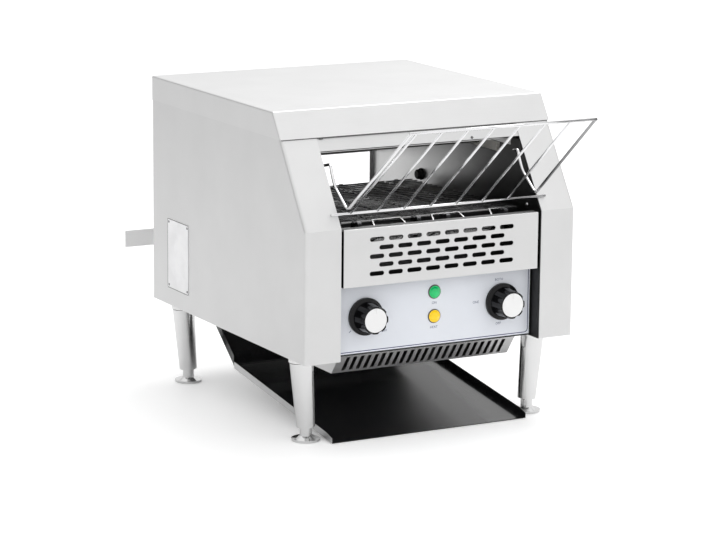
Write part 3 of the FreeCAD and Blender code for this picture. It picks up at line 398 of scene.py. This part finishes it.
def add_piece(name, mesh_or_bmesh, look, body, smooth=False):
    """Object from mesh data, with its material and body."""
    mesh = mesh_or_bmesh
    if isinstance(mesh, bmesh.types.BMesh):
        built = bpy.data.meshes.new(name)
        mesh.to_mesh(built)
        mesh.free()
        mesh = built
    piece = bpy.data.objects.new(name, mesh)
    bpy.context.scene.collection.objects.link(piece)
    mesh.materials.append(MATERIALS[look])
    for face in mesh.polygons:
        face.use_smooth = smooth
    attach(piece, body)
    return piece


def turned(profile, steps=32):
    """Lathe form about +Z from (radius, height) points, closed at both ends."""
    form = bmesh.new()
    rings = []
    for radius, height in profile:
        if radius == 0:
            rings.append([form.verts.new((0, 0, height))])
            continue
        rings.append([form.verts.new((radius * math.cos(turn), radius * math.sin(turn), height))
                      for turn in (2 * math.pi * step / steps for step in range(steps))])
    for lower, upper in zip(rings, rings[1:]):
        for step in range(steps):
            after = (step + 1) % steps
            corners = [lower[step % len(lower)], lower[after % len(lower)],
                       upper[after % len(upper)], upper[step % len(upper)]]
            unique = list(dict.fromkeys(corners))
            if len(unique) > 2:
                form.faces.new(unique)
    return form


def screw_form(radius, height):
    """Pan-head screw with a cross recess, its head towards +Z."""
    form = turned([(0, 0), (radius, 0), (radius, height * 0.45), (radius * 0.75, height * 0.85),
                   (radius * 0.3, height), (0, height)])
    for turn in (0, math.pi / 2):
        bar = bmesh.ops.create_cube(form, size=1.0)["verts"]
        bmesh.ops.scale(form, vec=(radius * 1.1, radius * 0.22, height * 0.16), verts=bar)
        bmesh.ops.rotate(form, cent=(0, 0, 0), matrix=Matrix.Rotation(turn, 3, "Z"), verts=bar)
        bmesh.ops.translate(form, vec=(0, 0, height * 0.97), verts=bar)
    return form


def facing(direction):
    """Rotation that takes +Z to the direction."""
    return Vector(direction).to_track_quat("Z", "Y").to_matrix().to_4x4()


def moved(form, matrix):
    """The form, moved by a matrix."""
    bmesh.ops.transform(form, matrix=matrix, verts=form.verts)
    return form


def add_screw(name, place, direction, radius=3.2 * MM, height=2.0 * MM, look="shaft"):
    """Screw whose head stands on a place and faces a direction."""
    form = moved(screw_form(radius, height), Matrix.Translation(place) @ facing(direction))
    add_piece(name, form, look, "frame")


def thickened(form, faces, shift):
    """Gives flat faces a thickness by moving a copy of them, joined at its edges."""
    raised = bmesh.ops.extrude_face_region(form, geom=faces)["geom"]
    bmesh.ops.translate(form, vec=shift,
                        verts=[part for part in raised if isinstance(part, bmesh.types.BMVert)])


def rounded_loop(form, width, height, corner, steps=8):
    """Points of a rounded rectangle in XY, centred on the origin."""
    loop = []
    for quadrant in range(4):
        middle_x = (width / 2 - corner) * (1 if quadrant in (0, 3) else -1)
        middle_y = (height / 2 - corner) * (1 if quadrant in (0, 1) else -1)
        for step in range(steps + 1):
            turn = math.pi / 2 * (quadrant + step / steps)
            loop.append(form.verts.new((middle_x + corner * math.cos(turn),
                                        middle_y + corner * math.sin(turn), 0)))
    return loop


def rounded_ring(form, width, height, line, corner, inner_corner):
    """Flat rounded frame in XY, as wide as the line."""
    outer = rounded_loop(form, width, height, corner)
    inner = rounded_loop(form, width - 2 * line, height - 2 * line, inner_corner)
    for index in range(len(outer)):
        after = (index + 1) % len(outer)
        form.faces.new([outer[index], outer[after], inner[after], inner[index]])


def plate_form(width, height, thickness, corner, steps=6):
    """Rounded plate in XY, centred on the origin, rising to +Z."""
    form = bmesh.new()
    face = form.faces.new(rounded_loop(form, width, height, corner, steps))
    thickened(form, [face], (0, 0, thickness))
    bmesh.ops.recalc_face_normals(form, faces=form.faces)
    return form


def prism_form(form, points, x_low, x_high):
    """Outline of (y, z) points, extruded along X, added to the form."""
    face = form.faces.new([form.verts.new((x_low, y, z)) for y, z in points])
    thickened(form, [face], (x_high - x_low, 0, 0))


def front_matrix(x, z):
    """Takes a form in XY with +Z as its front to the panel film's face."""
    return Matrix.Translation((x, film_low.y, z)) @ Matrix.Rotation(math.radians(90), 4, "X")


# Print on the film: the border line, a tick by each knob, and words with the node that each
# stands by and its place from the node's middle in mm
PRINT_THICKNESS = 0.05 * MM
BORDER_INSET = 1.6 * MM
BORDER_LINE = 1.0 * MM
BORDER_CORNER = 5.0 * MM
BORDER_TOP_ROOM = 6.0 * MM
TICK_LENGTH = 3.4 * MM
TICK_BREADTH = 0.7 * MM
TICK_GAP = 3.4 * MM
TICK_TURNS = {"speed_knob": -130, "selector_knob": 90}
WORD_SIZE = 4.2 * MM
WORD_THICKNESS = 0.02 * MM
WORDS = (("ON", "green_lamp", 0, -13.5), ("HEAT", "yellow_lamp", 0, -13.5),
         ("OFF", "speed_knob", 26, -20), ("OFF", "selector_knob", -4, -27),
         ("ONE", "selector_knob", -36, 2), ("BOTH", "selector_knob", -4, 27))

# Seats of the lenses
RING_WIDTH = 1.2 * MM
RING_HEIGHT = 1.0 * MM
RING_CHAMFER = 0.2 * MM


def film_border():
    """Thin printed line round the film, with rounded lower corners, cut off at the film's top."""
    width = film_high.x - film_low.x - 2 * BORDER_INSET
    height = film_high.z - film_low.z - 2 * BORDER_INSET + BORDER_TOP_ROOM
    z_middle = film_low.z + BORDER_INSET + height / 2
    form = bmesh.new()
    rounded_ring(form, width, height, BORDER_LINE, BORDER_CORNER, BORDER_CORNER - BORDER_LINE)
    bmesh.ops.bisect_plane(form, geom=form.verts[:] + form.edges[:] + form.faces[:],
                           plane_co=(0, film_high.z - z_middle, 0), plane_no=(0, 1, 0),
                           clear_outer=True)
    thickened(form, form.faces[:], (0, 0, PRINT_THICKNESS))
    moved(form, front_matrix((film_low.x + film_high.x) / 2, z_middle))
    add_piece("film_border", form, "ink", "frame")


def dial_marks():
    """Printed tick beside each knob."""
    for knob, degrees in TICK_TURNS.items():
        middle = centre(knob)
        low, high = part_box(knob)
        radius = (high[0] - low[0]) / 2 + TICK_GAP
        place = (front_matrix(middle.x, middle.z)
                 @ Matrix.Rotation(-math.radians(degrees), 4, "Z")
                 @ Matrix.Translation((0, radius, 0)))
        form = plate_form(TICK_BREADTH, TICK_LENGTH, PRINT_THICKNESS, TICK_BREADTH / 2.5, steps=3)
        add_piece(f"{knob}_tick_0", moved(form, place), "ink", "frame")


def lamp_rings():
    """Dark seat round each lens."""
    for lamp in ("green_lamp", "yellow_lamp"):
        middle = centre(lamp)
        low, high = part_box(lamp)
        radius = (high[0] - low[0]) / 2
        form = turned([(radius, 0), (radius + RING_WIDTH, 0),
                       (radius + RING_WIDTH - RING_CHAMFER, RING_HEIGHT - RING_CHAMFER),
                       (radius, RING_HEIGHT)], steps=40)
        moved(form, front_matrix(middle.x, middle.z))
        add_piece(f"{lamp}_ring", form, "lamp_ring", "frame", smooth=True)


def mesh_of(curve):
    """Mesh made from a curve or text."""
    holder = bpy.data.objects.new("curve_holder", curve)
    bpy.context.scene.collection.objects.link(holder)
    bpy.context.view_layer.update()
    mesh = bpy.data.meshes.new_from_object(
        holder.evaluated_get(bpy.context.evaluated_depsgraph_get()))
    bpy.data.objects.remove(holder)
    bpy.data.curves.remove(curve)
    return mesh


def printed_words():
    """Small plain words of use beside the knobs and under the lamps."""
    for index, (text, node, across, up) in enumerate(WORDS):
        curve = bpy.data.curves.new("word", "FONT")
        curve.body = text
        curve.size = WORD_SIZE
        curve.align_x = "CENTER"
        curve.align_y = "CENTER"
        curve.extrude = WORD_THICKNESS
        curve.resolution_u = 3
        mesh = mesh_of(curve)
        mesh.materials.clear()
        middle = centre(node)
        mesh.transform(front_matrix(middle.x + across * MM, middle.z + up * MM))
        add_piece(f"word_{index}", mesh, "ink", "frame")


# Perforated panel: its slots, its sheet and its folded edges
SLOT_ROWS = 5
SLOTS_IN_LONG_ROW = 8
SLOT_ROW_PITCH = 10.2 * MM
SLOT_PITCH = 25.2 * MM
SLOT_LENGTH = 19.3 * MM
SLOT_HEIGHT = 5.4 * MM
PANEL_SHEET = 1.0 * MM
PANEL_BEND = 1.6 * MM
PANEL_RETURN = 11.0 * MM
PANEL_BEND_STEPS = 6


def closed_spline(curve, points):
    """Adds a closed outline of straight runs to the curve."""
    spline = curve.splines.new("POLY")
    spline.points.add(len(points) - 1)
    for point, (x, y) in zip(spline.points, points):
        point.co = (x, y, 0, 1)
    spline.use_cyclic_u = True


def slot_outline(x, z, steps=8):
    """Round-ended slot about a point."""
    radius = SLOT_HEIGHT / 2
    straight = SLOT_LENGTH / 2 - radius
    points = []
    for side in (1, -1):
        for step in range(steps + 1):
            turn = math.pi * step / steps
            points.append((x + side * (straight + radius * math.sin(turn)),
                           z + side * radius * math.cos(turn)))
    return points


def slotted_panel():
    """Panel under the feed opening: staggered slots in its face, its top edge bent back."""
    low, high = (Vector(corner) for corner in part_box("perforated_panel"))
    middle_z = (low.z + high.z) / 2
    face_top = high.z - PANEL_BEND
    curve = bpy.data.curves.new("slotted_face", "CURVE")
    curve.dimensions = "2D"
    curve.fill_mode = "BOTH"
    curve.extrude = PANEL_SHEET / 2
    closed_spline(curve, [(low.x, low.z), (high.x, low.z), (high.x, face_top), (low.x, face_top)])
    for row in range(SLOT_ROWS):
        count = SLOTS_IN_LONG_ROW - row % 2
        for column in range(count):
            x = (column - (count - 1) / 2) * SLOT_PITCH
            z = middle_z + ((SLOT_ROWS - 1) / 2 - row) * SLOT_ROW_PITCH
            closed_spline(curve, slot_outline(x, z))
    face = mesh_of(curve)
    face.transform(Matrix.Translation((0, low.y + PANEL_SHEET / 2, 0))
                   @ Matrix.Rotation(math.radians(90), 4, "X"))
    form = bmesh.new()
    form.from_mesh(face)
    bpy.data.meshes.remove(face)

    turns = [math.pi / 2 * step / PANEL_BEND_STEPS for step in range(PANEL_BEND_STEPS + 1)]
    arc = [(PANEL_BEND * math.sin(turn), PANEL_BEND * math.cos(turn)) for turn in turns]
    bend_y = low.y + PANEL_BEND
    outer = [(bend_y - along, face_top + up) for along, up in reversed(arc)]
    share = 1 - PANEL_SHEET / PANEL_BEND
    inner = [(bend_y - along * share, face_top + up * share) for along, up in arc]
    inside, under_top = low.y + PANEL_SHEET, high.z - PANEL_SHEET
    back, base_top = inside + PANEL_RETURN, low.z + PANEL_SHEET
    prism_form(form, outer + [(back, high.z), (back, under_top)] + inner, low.x, high.x)
    for x_low, x_high in ((low.x, low.x + PANEL_SHEET), (high.x - PANEL_SHEET, high.x)):
        prism_form(form, [(inside, low.z), (back, low.z), (back, under_top),
                          (inside, under_top)], x_low, x_high)
    prism_form(form, [(inside, low.z), (high.y, low.z), (high.y, base_top), (inside, base_top)],
               low.x, high.x)
    bmesh.ops.recalc_face_normals(form, faces=form.faces)
    panel = add_piece("slotted_panel", form, "perforated", "frame")
    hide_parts("perforated_panel")


def rounded_path(points, bend, steps=6):
    """Path with each corner replaced by a smooth bend."""
    path = [points[0]]
    for before, corner, after in zip(points, points[1:], points[2:]):
        start = corner + (before - corner).normalized() * bend
        end = corner + (after - corner).normalized() * bend
        for step in range(steps + 1):
            share = step / steps
            path.append(start.lerp(corner, share).lerp(corner.lerp(end, share), share))
    path.append(points[-1])
    return path


def wire(form, path, radius, sides=12):
    """Round wire along a path, closed at its ends."""
    rings = []
    across = None
    for index, place in enumerate(path):
        before = path[max(index - 1, 0)]
        after = path[min(index + 1, len(path) - 1)]
        run = (after - before).normalized()
        guide = across if across else (Vector((1, 0, 0)) if abs(run.x) < 0.9 else Vector((0, 1, 0)))
        across = (guide - run * guide.dot(run)).normalized()
        other = run.cross(across)
        rings.append([form.verts.new(place + (across * math.cos(turn) + other * math.sin(turn))
                                     * radius)
                      for turn in (2 * math.pi * step / sides for step in range(sides))])
    for lower, upper in zip(rings, rings[1:]):
        for step in range(sides):
            after = (step + 1) % sides
            form.faces.new((lower[step], lower[after], upper[after], upper[step]))
    form.faces.new(rings[0][::-1])
    form.faces.new(rings[-1])


# Feed rack; its pivot and the corners of its arms are (y, z) places
RACK_WIRES = 7
RACK_WIRE_RADIUS = 1.45 * MM
RACK_ROD_RADIUS = 1.7 * MM
RACK_FIRST_INSET = 7.4 * MM
RACK_FOOT_OUT = 2.0 * MM
RACK_SPREAD = 128.0 * MM
RACK_TOP_SPREAD = 121.5 * MM
RACK_VERTEX_UP = 9.0 * MM
RACK_HOOK_X = 140.0 * MM
RACK_BEND = 6.0 * MM
RACK_PIVOT = (-127.66 * MM, 324.0 * MM)
RACK_ARM = ((-152.6 * MM, 302.3 * MM), (-144.5 * MM, 316.0 * MM), (-140.9 * MM, 327.5 * MM))


def wire_rack():
    """Feed rack of bright wire with smooth bends, its arms hooked into the cavity walls."""
    low, high = (Vector(corner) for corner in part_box("bread_rack"))
    foot_z = low.z + RACK_ROD_RADIUS
    foot = slant_point(0, foot_z, RACK_FOOT_OUT)
    top = Vector((0, low.y + RACK_ROD_RADIUS, high.z - RACK_ROD_RADIUS))
    length = (top - foot).length

    def at(x, distance):
        """Point in the rack's sloping plane: x at its foot, and the distance up from there."""
        share = distance / length
        place = foot.lerp(top, share)
        return Vector((x * (1 + (RACK_TOP_SPREAD / RACK_SPREAD - 1) * share), place.y, place.z))

    form = bmesh.new()
    wire(form, [Vector((low.x, foot.y, foot.z)), Vector((high.x, foot.y, foot.z))],
         RACK_ROD_RADIUS)
    top_half = RACK_TOP_SPREAD + RACK_ROD_RADIUS
    wire(form, [Vector((-top_half, top.y, top.z)), Vector((top_half, top.y, top.z))],
         RACK_ROD_RADIUS)
    first = -RACK_SPREAD + RACK_FIRST_INSET
    spacing = (RACK_SPREAD - first) / RACK_WIRES
    for index in range(RACK_WIRES):
        x = first + index * spacing
        wire(form, [at(x, 0), at(x, length)], RACK_WIRE_RADIUS)
    for side in (-1, 1):
        x = side * RACK_SPREAD
        corners = [at(x, length), at(x, RACK_VERTEX_UP)]
        corners += [Vector((x, y, z)) for y, z in RACK_ARM]
        corners += [Vector((x, *RACK_PIVOT)), Vector((side * RACK_HOOK_X, *RACK_PIVOT))]
        wire(form, rounded_path(corners, RACK_BEND), RACK_ROD_RADIUS)
    bmesh.ops.recalc_face_normals(form, faces=form.faces)
    rack = add_piece("wire_rack", form, "chrome", "rack", smooth=True)
    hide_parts("bread_rack")


# Upper heating elements: places, tube, and the narrow pins at its ends
ELEMENTS = 3
ELEMENT_FIRST_Y = FRONT_Y + 150.0 * MM
ELEMENT_LAST_Y = FRONT_Y + 272.0 * MM
ELEMENT_LIFT = 2.0 * MM
ELEMENT_RADIUS = 3.5 * MM
ELEMENT_SHOULDER_RADIUS = 0.9 * ELEMENT_RADIUS
ELEMENT_PIN_RADIUS = 0.5 * ELEMENT_RADIUS
ELEMENT_PIN = 12.0 * MM
ELEMENT_PIN_AND_SHOULDER = 14.4 * MM


def heating_tubes():
    """Upper tubular elements with their narrow connection pins."""
    low, high = (Vector(corner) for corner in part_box("upper_elements"))
    z = (low.z + high.z) / 2 + ELEMENT_LIFT
    half = high.x
    near_end = [(0, -half), (ELEMENT_PIN_RADIUS, -half), (ELEMENT_PIN_RADIUS, -half + ELEMENT_PIN),
                (ELEMENT_SHOULDER_RADIUS, -half + ELEMENT_PIN),
                (ELEMENT_RADIUS, -half + ELEMENT_PIN_AND_SHOULDER)]
    profile = near_end + [(radius, -along) for radius, along in reversed(near_end)]
    form = bmesh.new()
    for index in range(ELEMENTS):
        y = ELEMENT_FIRST_Y + (ELEMENT_LAST_Y - ELEMENT_FIRST_Y) * index / (ELEMENTS - 1)
        place = Matrix.Translation((0, y, z)) @ Matrix.Rotation(math.radians(90), 4, "Y")
        tube = moved(turned(profile, steps=20), place)
        mesh = bpy.data.meshes.new("tube")
        tube.to_mesh(mesh)
        tube.free()
        form.from_mesh(mesh)
        bpy.data.meshes.remove(mesh)
    tubes = add_piece("heating_tubes", form, "element", "frame", smooth=True)
    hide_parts("upper_elements")


# Bare plate: its middle from the left side's low front corner, its size, line and rivets
PLATE_BACK = 343.0 * MM
PLATE_UP = 66.8 * MM
PLATE_WIDTH = 61.0 * MM
PLATE_HEIGHT = 88.8 * MM
PLATE_THICKNESS = 0.5 * MM
PLATE_CORNER = 2.0 * MM
PLATE_LINE = 0.8 * MM
PLATE_LINE_CORNER = 1.4 * MM
PLATE_LINE_THICKNESS = 0.08 * MM
RIVET_INSET = 4.0 * MM
RIVET_PROFILE = ((0, 0), (1.6 * MM, 0), (1.4 * MM, 0.25 * MM), (0.8 * MM, 0.4 * MM),
                 (0, 0.42 * MM))


def on_left_side(y, z):
    """Takes a form in XY with +Z as its front to the left side's outer face."""
    axes = Matrix(((0, 0, -1), (-1, 0, 0), (0, 1, 0))).to_4x4()
    return Matrix.Translation((side_low.x, y, z)) @ axes


def bare_plate():
    """Bare plate on the left side with a thin line round it, held by four rivets."""
    place = on_left_side(side_low.y + PLATE_BACK, side_low.z + PLATE_UP)
    form = plate_form(PLATE_WIDTH, PLATE_HEIGHT, PLATE_THICKNESS, PLATE_CORNER)
    add_piece("bare_plate", moved(form, place), "plate", "frame")
    line = bmesh.new()
    rounded_ring(line, PLATE_WIDTH, PLATE_HEIGHT, PLATE_LINE, PLATE_CORNER, PLATE_LINE_CORNER)
    thickened(line, line.faces[:], (0, 0, PLATE_LINE_THICKNESS))
    moved(line, place @ Matrix.Translation((0, 0, PLATE_THICKNESS)))
    add_piece("bare_plate_line", line, "line", "frame")
    for index in range(4):
        across = (PLATE_WIDTH / 2 - RIVET_INSET) * (1 if index % 2 else -1)
        up = (PLATE_HEIGHT / 2 - RIVET_INSET) * (1 if index // 2 else -1)
        rivet = moved(turned(RIVET_PROFILE, steps=20),
                      place @ Matrix.Translation((across, up, PLATE_THICKNESS)))
        add_piece(f"bare_plate_rivet_{index}", rivet, "shaft", "frame", smooth=True)


# Painted shadow in the joint under the cover's front skirt, and a deeper notch of painted shadow at
# each of its ends
SKIRT_SHADOW_HEIGHT = 1.1 * MM
SKIRT_SHADOW_DEPTH = 1.3 * MM
SKIRT_SHADOW_OUT = 0.2 * MM
SKIRT_SHADOW_SIDE_GAP = 1.5 * MM
END_SHADOW_X = 130.0 * MM
END_SHADOW_HALF = 2.5 * MM
END_SHADOW_HEIGHT = 0.9 * MM


def slanted_strip(top, bottom):
    """Outline of a strip in the slanted face between two heights."""
    top_y, bottom_y = slant_point(0, top, SKIRT_SHADOW_OUT).y, slant_point(0, bottom, SKIRT_SHADOW_OUT).y
    return [(bottom_y, bottom), (top_y, top), (top_y + SKIRT_SHADOW_DEPTH, top),
            (bottom_y + SKIRT_SHADOW_DEPTH, bottom)]


def cover_skirt_shadow():
    """Dark strip of painted shadow in the joint under the cover's front skirt."""
    form = bmesh.new()
    bottom = cover_low.z - SKIRT_SHADOW_HEIGHT
    prism_form(form, slanted_strip(cover_low.z, bottom),
               side_low.x + SKIRT_SHADOW_SIDE_GAP, -side_low.x - SKIRT_SHADOW_SIDE_GAP)
    for side in (-1, 1):
        prism_form(form, slanted_strip(bottom, bottom - END_SHADOW_HEIGHT),
                   side * END_SHADOW_X - END_SHADOW_HALF, side * END_SHADOW_X + END_SHADOW_HALF)
    bmesh.ops.recalc_face_normals(form, faces=form.faces)
    add_piece("cover_skirt_shadow", form, "line", "frame")


# Toast tray: its fall, and its side lips' height, cut front end and outer skin
TRAY_SLOPE = math.radians(7.5)
TRAY_LIP = 8.5 * MM
TRAY_TAPER = 14.0 * MM
TRAY_END_SHARE = 0.75
TRAY_SKIN = 0.12 * MM


def tray_edges():
    """Bare bright metal on the outside of the tray's side lips."""
    low, high = (Vector(corner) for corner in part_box("bread_tray"))

    def at(y, above):
        """(y, z) place above the tray's sloping floor."""
        return (y, low.z + (y - low.y) * math.tan(TRAY_SLOPE) + above / math.cos(TRAY_SLOPE))

    outline = [at(low.y, 0), at(high.y, 0), at(high.y, TRAY_LIP),
               at(low.y + TRAY_TAPER, TRAY_LIP), at(low.y, TRAY_LIP * TRAY_END_SHARE)]
    form = bmesh.new()
    for x in (low.x, high.x):
        prism_form(form, outline, x - TRAY_SKIN, x + TRAY_SKIN)
    bmesh.ops.recalc_face_normals(form, faces=form.faces)
    add_piece("tray_edges", form, "tray_edge", "tray")


# Dark boss of painted shade for the bearing hole, and a screw, on the right cavity wall, as (y, z)
# places, and the boss's profile
HOLE_SHADE_PLACE = (FRONT_Y + 288.0 * MM, 257.6 * MM)
HOLE_SHADE_PROFILE = ((0, 0), (7.6 * MM, 0), (7.6 * MM, 1.4 * MM), (6.6 * MM, 2.2 * MM),
                (6.2 * MM, 6.4 * MM), (5.0 * MM, 7.6 * MM), (0, 7.8 * MM))
WALL_SCREW_PLACE = (FRONT_Y + 32.0 * MM, 260.8 * MM)

# Screws of the header and of the rear panel's upright edges
HEADER_SCREW_X = 71.0 * MM
HEADER_SCREW_UP = 2.2 * MM
HEADER_SCREW_IN = 1.0 * MM
REAR_SCREWS = 4
REAR_SCREW_INSET = 7.0 * MM
REAR_SCREW_FIRST = 20.0 * MM
REAR_SCREW_PITCH = 75.0 * MM


def cavity_trim():
    """Dark boss standing in for the shade of the bearing hole, and a small screw, on the right
    cavity wall.
    """
    wall_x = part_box("right_cavity_wall")[0][0]
    place = Matrix.Translation((wall_x, *HOLE_SHADE_PLACE)) @ facing((-1, 0, 0))
    hole_shade = moved(turned(HOLE_SHADE_PROFILE, steps=36), place)
    add_piece("wall_hole_shade", hole_shade, "dark", "frame")
    add_screw("wall_screw", Vector((wall_x, *WALL_SCREW_PLACE)), (-1, 0, 0),
              radius=2.4 * MM, height=1.2 * MM, look="chrome")


def small_screws():
    """Small screws on the header and the rear panel."""
    slant = Vector((0, -math.cos(SLANT), math.sin(SLANT)))
    place = slant_point(HEADER_SCREW_X, header_low.z + HEADER_SCREW_UP, -HEADER_SCREW_IN)
    add_screw("header_screw", place, slant, radius=1.7 * MM, height=0.9 * MM, look="line")
    for side, word in ((-1, "left"), (1, "right")):
        for row in range(REAR_SCREWS):
            place = Vector((side * (rear_high.x - REAR_SCREW_INSET), rear_high.y,
                            rear_low.z + REAR_SCREW_FIRST + REAR_SCREW_PITCH * row))
            add_screw(f"rear_screw_{word}_{row}", place, (0, 1, 0))


# Room, light and camera

# Tones of the studio round the object
ROOM_TOP = 0.945
ROOM_FRONT = 0.991
ROOM_LEFT = 0.383
ROOM_RIGHT = 0.823
ROOM_REAR = 0.80
ROOM_BAND = 0.12
ROOM_STREAK = 0.45

# Tone along the horizon by azimuth in degrees: 0 lies in front of the object, 90 at its right
HORIZON = (
    (-180, ROOM_REAR), (-168, ROOM_LEFT), (-116, ROOM_LEFT), (-110, ROOM_BAND),
    (-98, ROOM_BAND), (-92, ROOM_FRONT), (-62, ROOM_FRONT), (-58, ROOM_STREAK),
    (-50, ROOM_STREAK), (-46, ROOM_FRONT), (10, ROOM_FRONT), (14, ROOM_BAND),
    (23, ROOM_BAND), (27, ROOM_FRONT), (44, ROOM_FRONT), (47, ROOM_STREAK),
    (56, ROOM_STREAK), (59, ROOM_FRONT), (84, ROOM_FRONT), (88, ROOM_BAND),
    (100, ROOM_BAND), (104, ROOM_FRONT), (110, ROOM_FRONT), (130, ROOM_RIGHT),
    (170, ROOM_RIGHT), (180, ROOM_REAR))

# Upward part of a direction over which the horizon's tone gives way to the top's
ROOM_RISE = (0.1, 0.8)

# Colour sockets of a mix node
MIX_FIRST, MIX_SECOND, MIX_RESULT = 6, 7, 2

# Floor; the lift is the light that it gives to the camera alone
FLOOR_HALF = 6.0
FLOOR_DROP = 0.2 * MM
FLOOR_TONES = (0.93, 0.95)
FLOOR_SHINE = 0.25
FLOOR_LIFT = 0.27

# Lights: place, point that they face, diameter and power
TOP_SOFTBOX = ((1.0, 0.6, 2.4), (0, 0, 0.2), 1.8, 24.0)
FRONT_SOFTBOX = ((0.9, -2.4, 1.5), (0, 0, 0.15), 1.6, 3.0)


def room():
    """World that is white to the camera and a soft studio to everything else."""
    world = bpy.data.worlds.new("studio")
    bpy.context.scene.world = world
    world.use_nodes = True
    nodes, links = world.node_tree.nodes, world.node_tree.links
    nodes.clear()
    output = nodes.new("ShaderNodeOutputWorld")
    mix = nodes.new("ShaderNodeMixShader")
    paths = nodes.new("ShaderNodeLightPath")
    seen = nodes.new("ShaderNodeBackground")
    seen.inputs["Color"].default_value = (1, 1, 1, 1)
    seen.inputs["Strength"].default_value = 1.0
    lit = nodes.new("ShaderNodeBackground")
    lit.inputs["Strength"].default_value = 1.0
    coords = nodes.new("ShaderNodeTexCoord")
    axes = axes_of(nodes, links, coords.outputs["Generated"])
    towards = worked(nodes, links, "MULTIPLY", axes["Y"], -1.0)
    azimuth = worked(nodes, links, "ARCTAN2", axes["X"], towards)
    place = worked(nodes, links, "ADD", worked(nodes, links, "DIVIDE", azimuth, 2 * math.pi), 0.5)
    ramp = nodes.new("ShaderNodeValToRGB")
    stops = ramp.color_ramp.elements
    for index, (degrees, tone) in enumerate(HORIZON):
        at = degrees / 360 + 0.5
        stop = stops[index] if index < 2 else stops.new(at)
        stop.position = at
        stop.color = (*grey(tone), 1)
    links.new(place, ramp.inputs["Fac"])
    blend = nodes.new("ShaderNodeMix")
    blend.data_type = "RGBA"
    rise = mapped(nodes, links, axes["Z"], *ROOM_RISE, 0.0, 1.0, "SMOOTHSTEP")
    links.new(rise, blend.inputs["Factor"])
    links.new(ramp.outputs["Color"], blend.inputs[MIX_FIRST])
    blend.inputs[MIX_SECOND].default_value = (*grey(ROOM_TOP), 1)
    links.new(blend.outputs[MIX_RESULT], lit.inputs["Color"])
    links.new(paths.outputs["Is Camera Ray"], mix.inputs["Fac"])
    links.new(lit.outputs["Background"], mix.inputs[1])
    links.new(seen.outputs["Background"], mix.inputs[2])
    links.new(mix.outputs["Shader"], output.inputs["Surface"])


def floor():
    """Pale floor under the feet, a little lighter to the camera."""
    form = bmesh.new()
    bmesh.ops.create_grid(form, x_segments=1, y_segments=1, size=FLOOR_HALF)
    mesh = bpy.data.meshes.new("floor")
    form.to_mesh(mesh)
    form.free()
    material, nodes, links, shader, coords = new_material("floor_white")
    broad = noise(nodes, links, coords, scale=2.0, detail=2.0)
    dark, light = (grey(tone) for tone in FLOOR_TONES)
    surface(nodes, links, shader, tint(nodes, links, broad, dark, light), broad, 0.5, 0.55)
    shader.inputs["Specular IOR Level"].default_value = FLOOR_SHINE
    shader.inputs["Emission Color"].default_value = (1, 1, 1, 1)
    paths = nodes.new("ShaderNodeLightPath")
    links.new(worked(nodes, links, "MULTIPLY", paths.outputs["Is Camera Ray"], FLOOR_LIFT),
              shader.inputs["Emission Strength"])
    mesh.materials.append(material)
    plane = bpy.data.objects.new("floor", mesh)
    plane.location.z = -FLOOR_DROP
    bpy.context.scene.collection.objects.link(plane)


def area_light(name, place, target, size, power):
    """Round soft light that faces a point."""
    light = bpy.data.lights.new(name, "AREA")
    light.shape = "DISK"
    light.size = size
    light.energy = power
    lamp = bpy.data.objects.new(name, light)
    lamp.location = place
    aim = (Vector(target) - Vector(place)).to_track_quat("-Z", "Y")
    lamp.rotation_euler = aim.to_euler()
    bpy.context.scene.collection.objects.link(lamp)


def lights():
    """Main light from above, behind on the right, and a weak one from the front."""
    area_light("top_softbox", *TOP_SOFTBOX)
    area_light("front_softbox", *FRONT_SOFTBOX)


def camera():
    """Camera at the photograph's place, turned by azimuth, elevation and roll."""
    azimuth = math.radians(CAMERA_AZIMUTH)
    elevation = math.radians(CAMERA_ELEVATION)
    forward = Vector((-math.sin(azimuth) * math.cos(elevation),
                      math.cos(azimuth) * math.cos(elevation), -math.sin(elevation)))
    right = Vector((math.cos(azimuth), math.sin(azimuth), 0))
    up = right.cross(forward)
    upright = Matrix((right, up, -forward)).transposed().to_4x4()
    turn = upright @ Matrix.Rotation(math.radians(CAMERA_ROLL), 4, "Z")
    data = bpy.data.cameras.new("camera")
    data.sensor_width = CAMERA_SENSOR
    data.lens = CAMERA_LENS
    view = bpy.data.objects.new("camera", data)
    view.matrix_world = Matrix.Translation(CAMERA_PLACE) @ turn
    bpy.context.scene.collection.objects.link(view)
    bpy.context.scene.camera = view


def picture_settings():
    """Plain view transform, which the tones above are set for."""
    bpy.context.scene.view_settings.view_transform = "Standard"
    bpy.context.scene.view_settings.look = "None"


dress_nodes()
film_border()
dial_marks()
lamp_rings()
printed_words()
slotted_panel()
wire_rack()
heating_tubes()
bare_plate()
cover_skirt_shadow()
tray_edges()
cavity_trim()
small_screws()
room()
floor()
lights()
camera()
picture_settings()
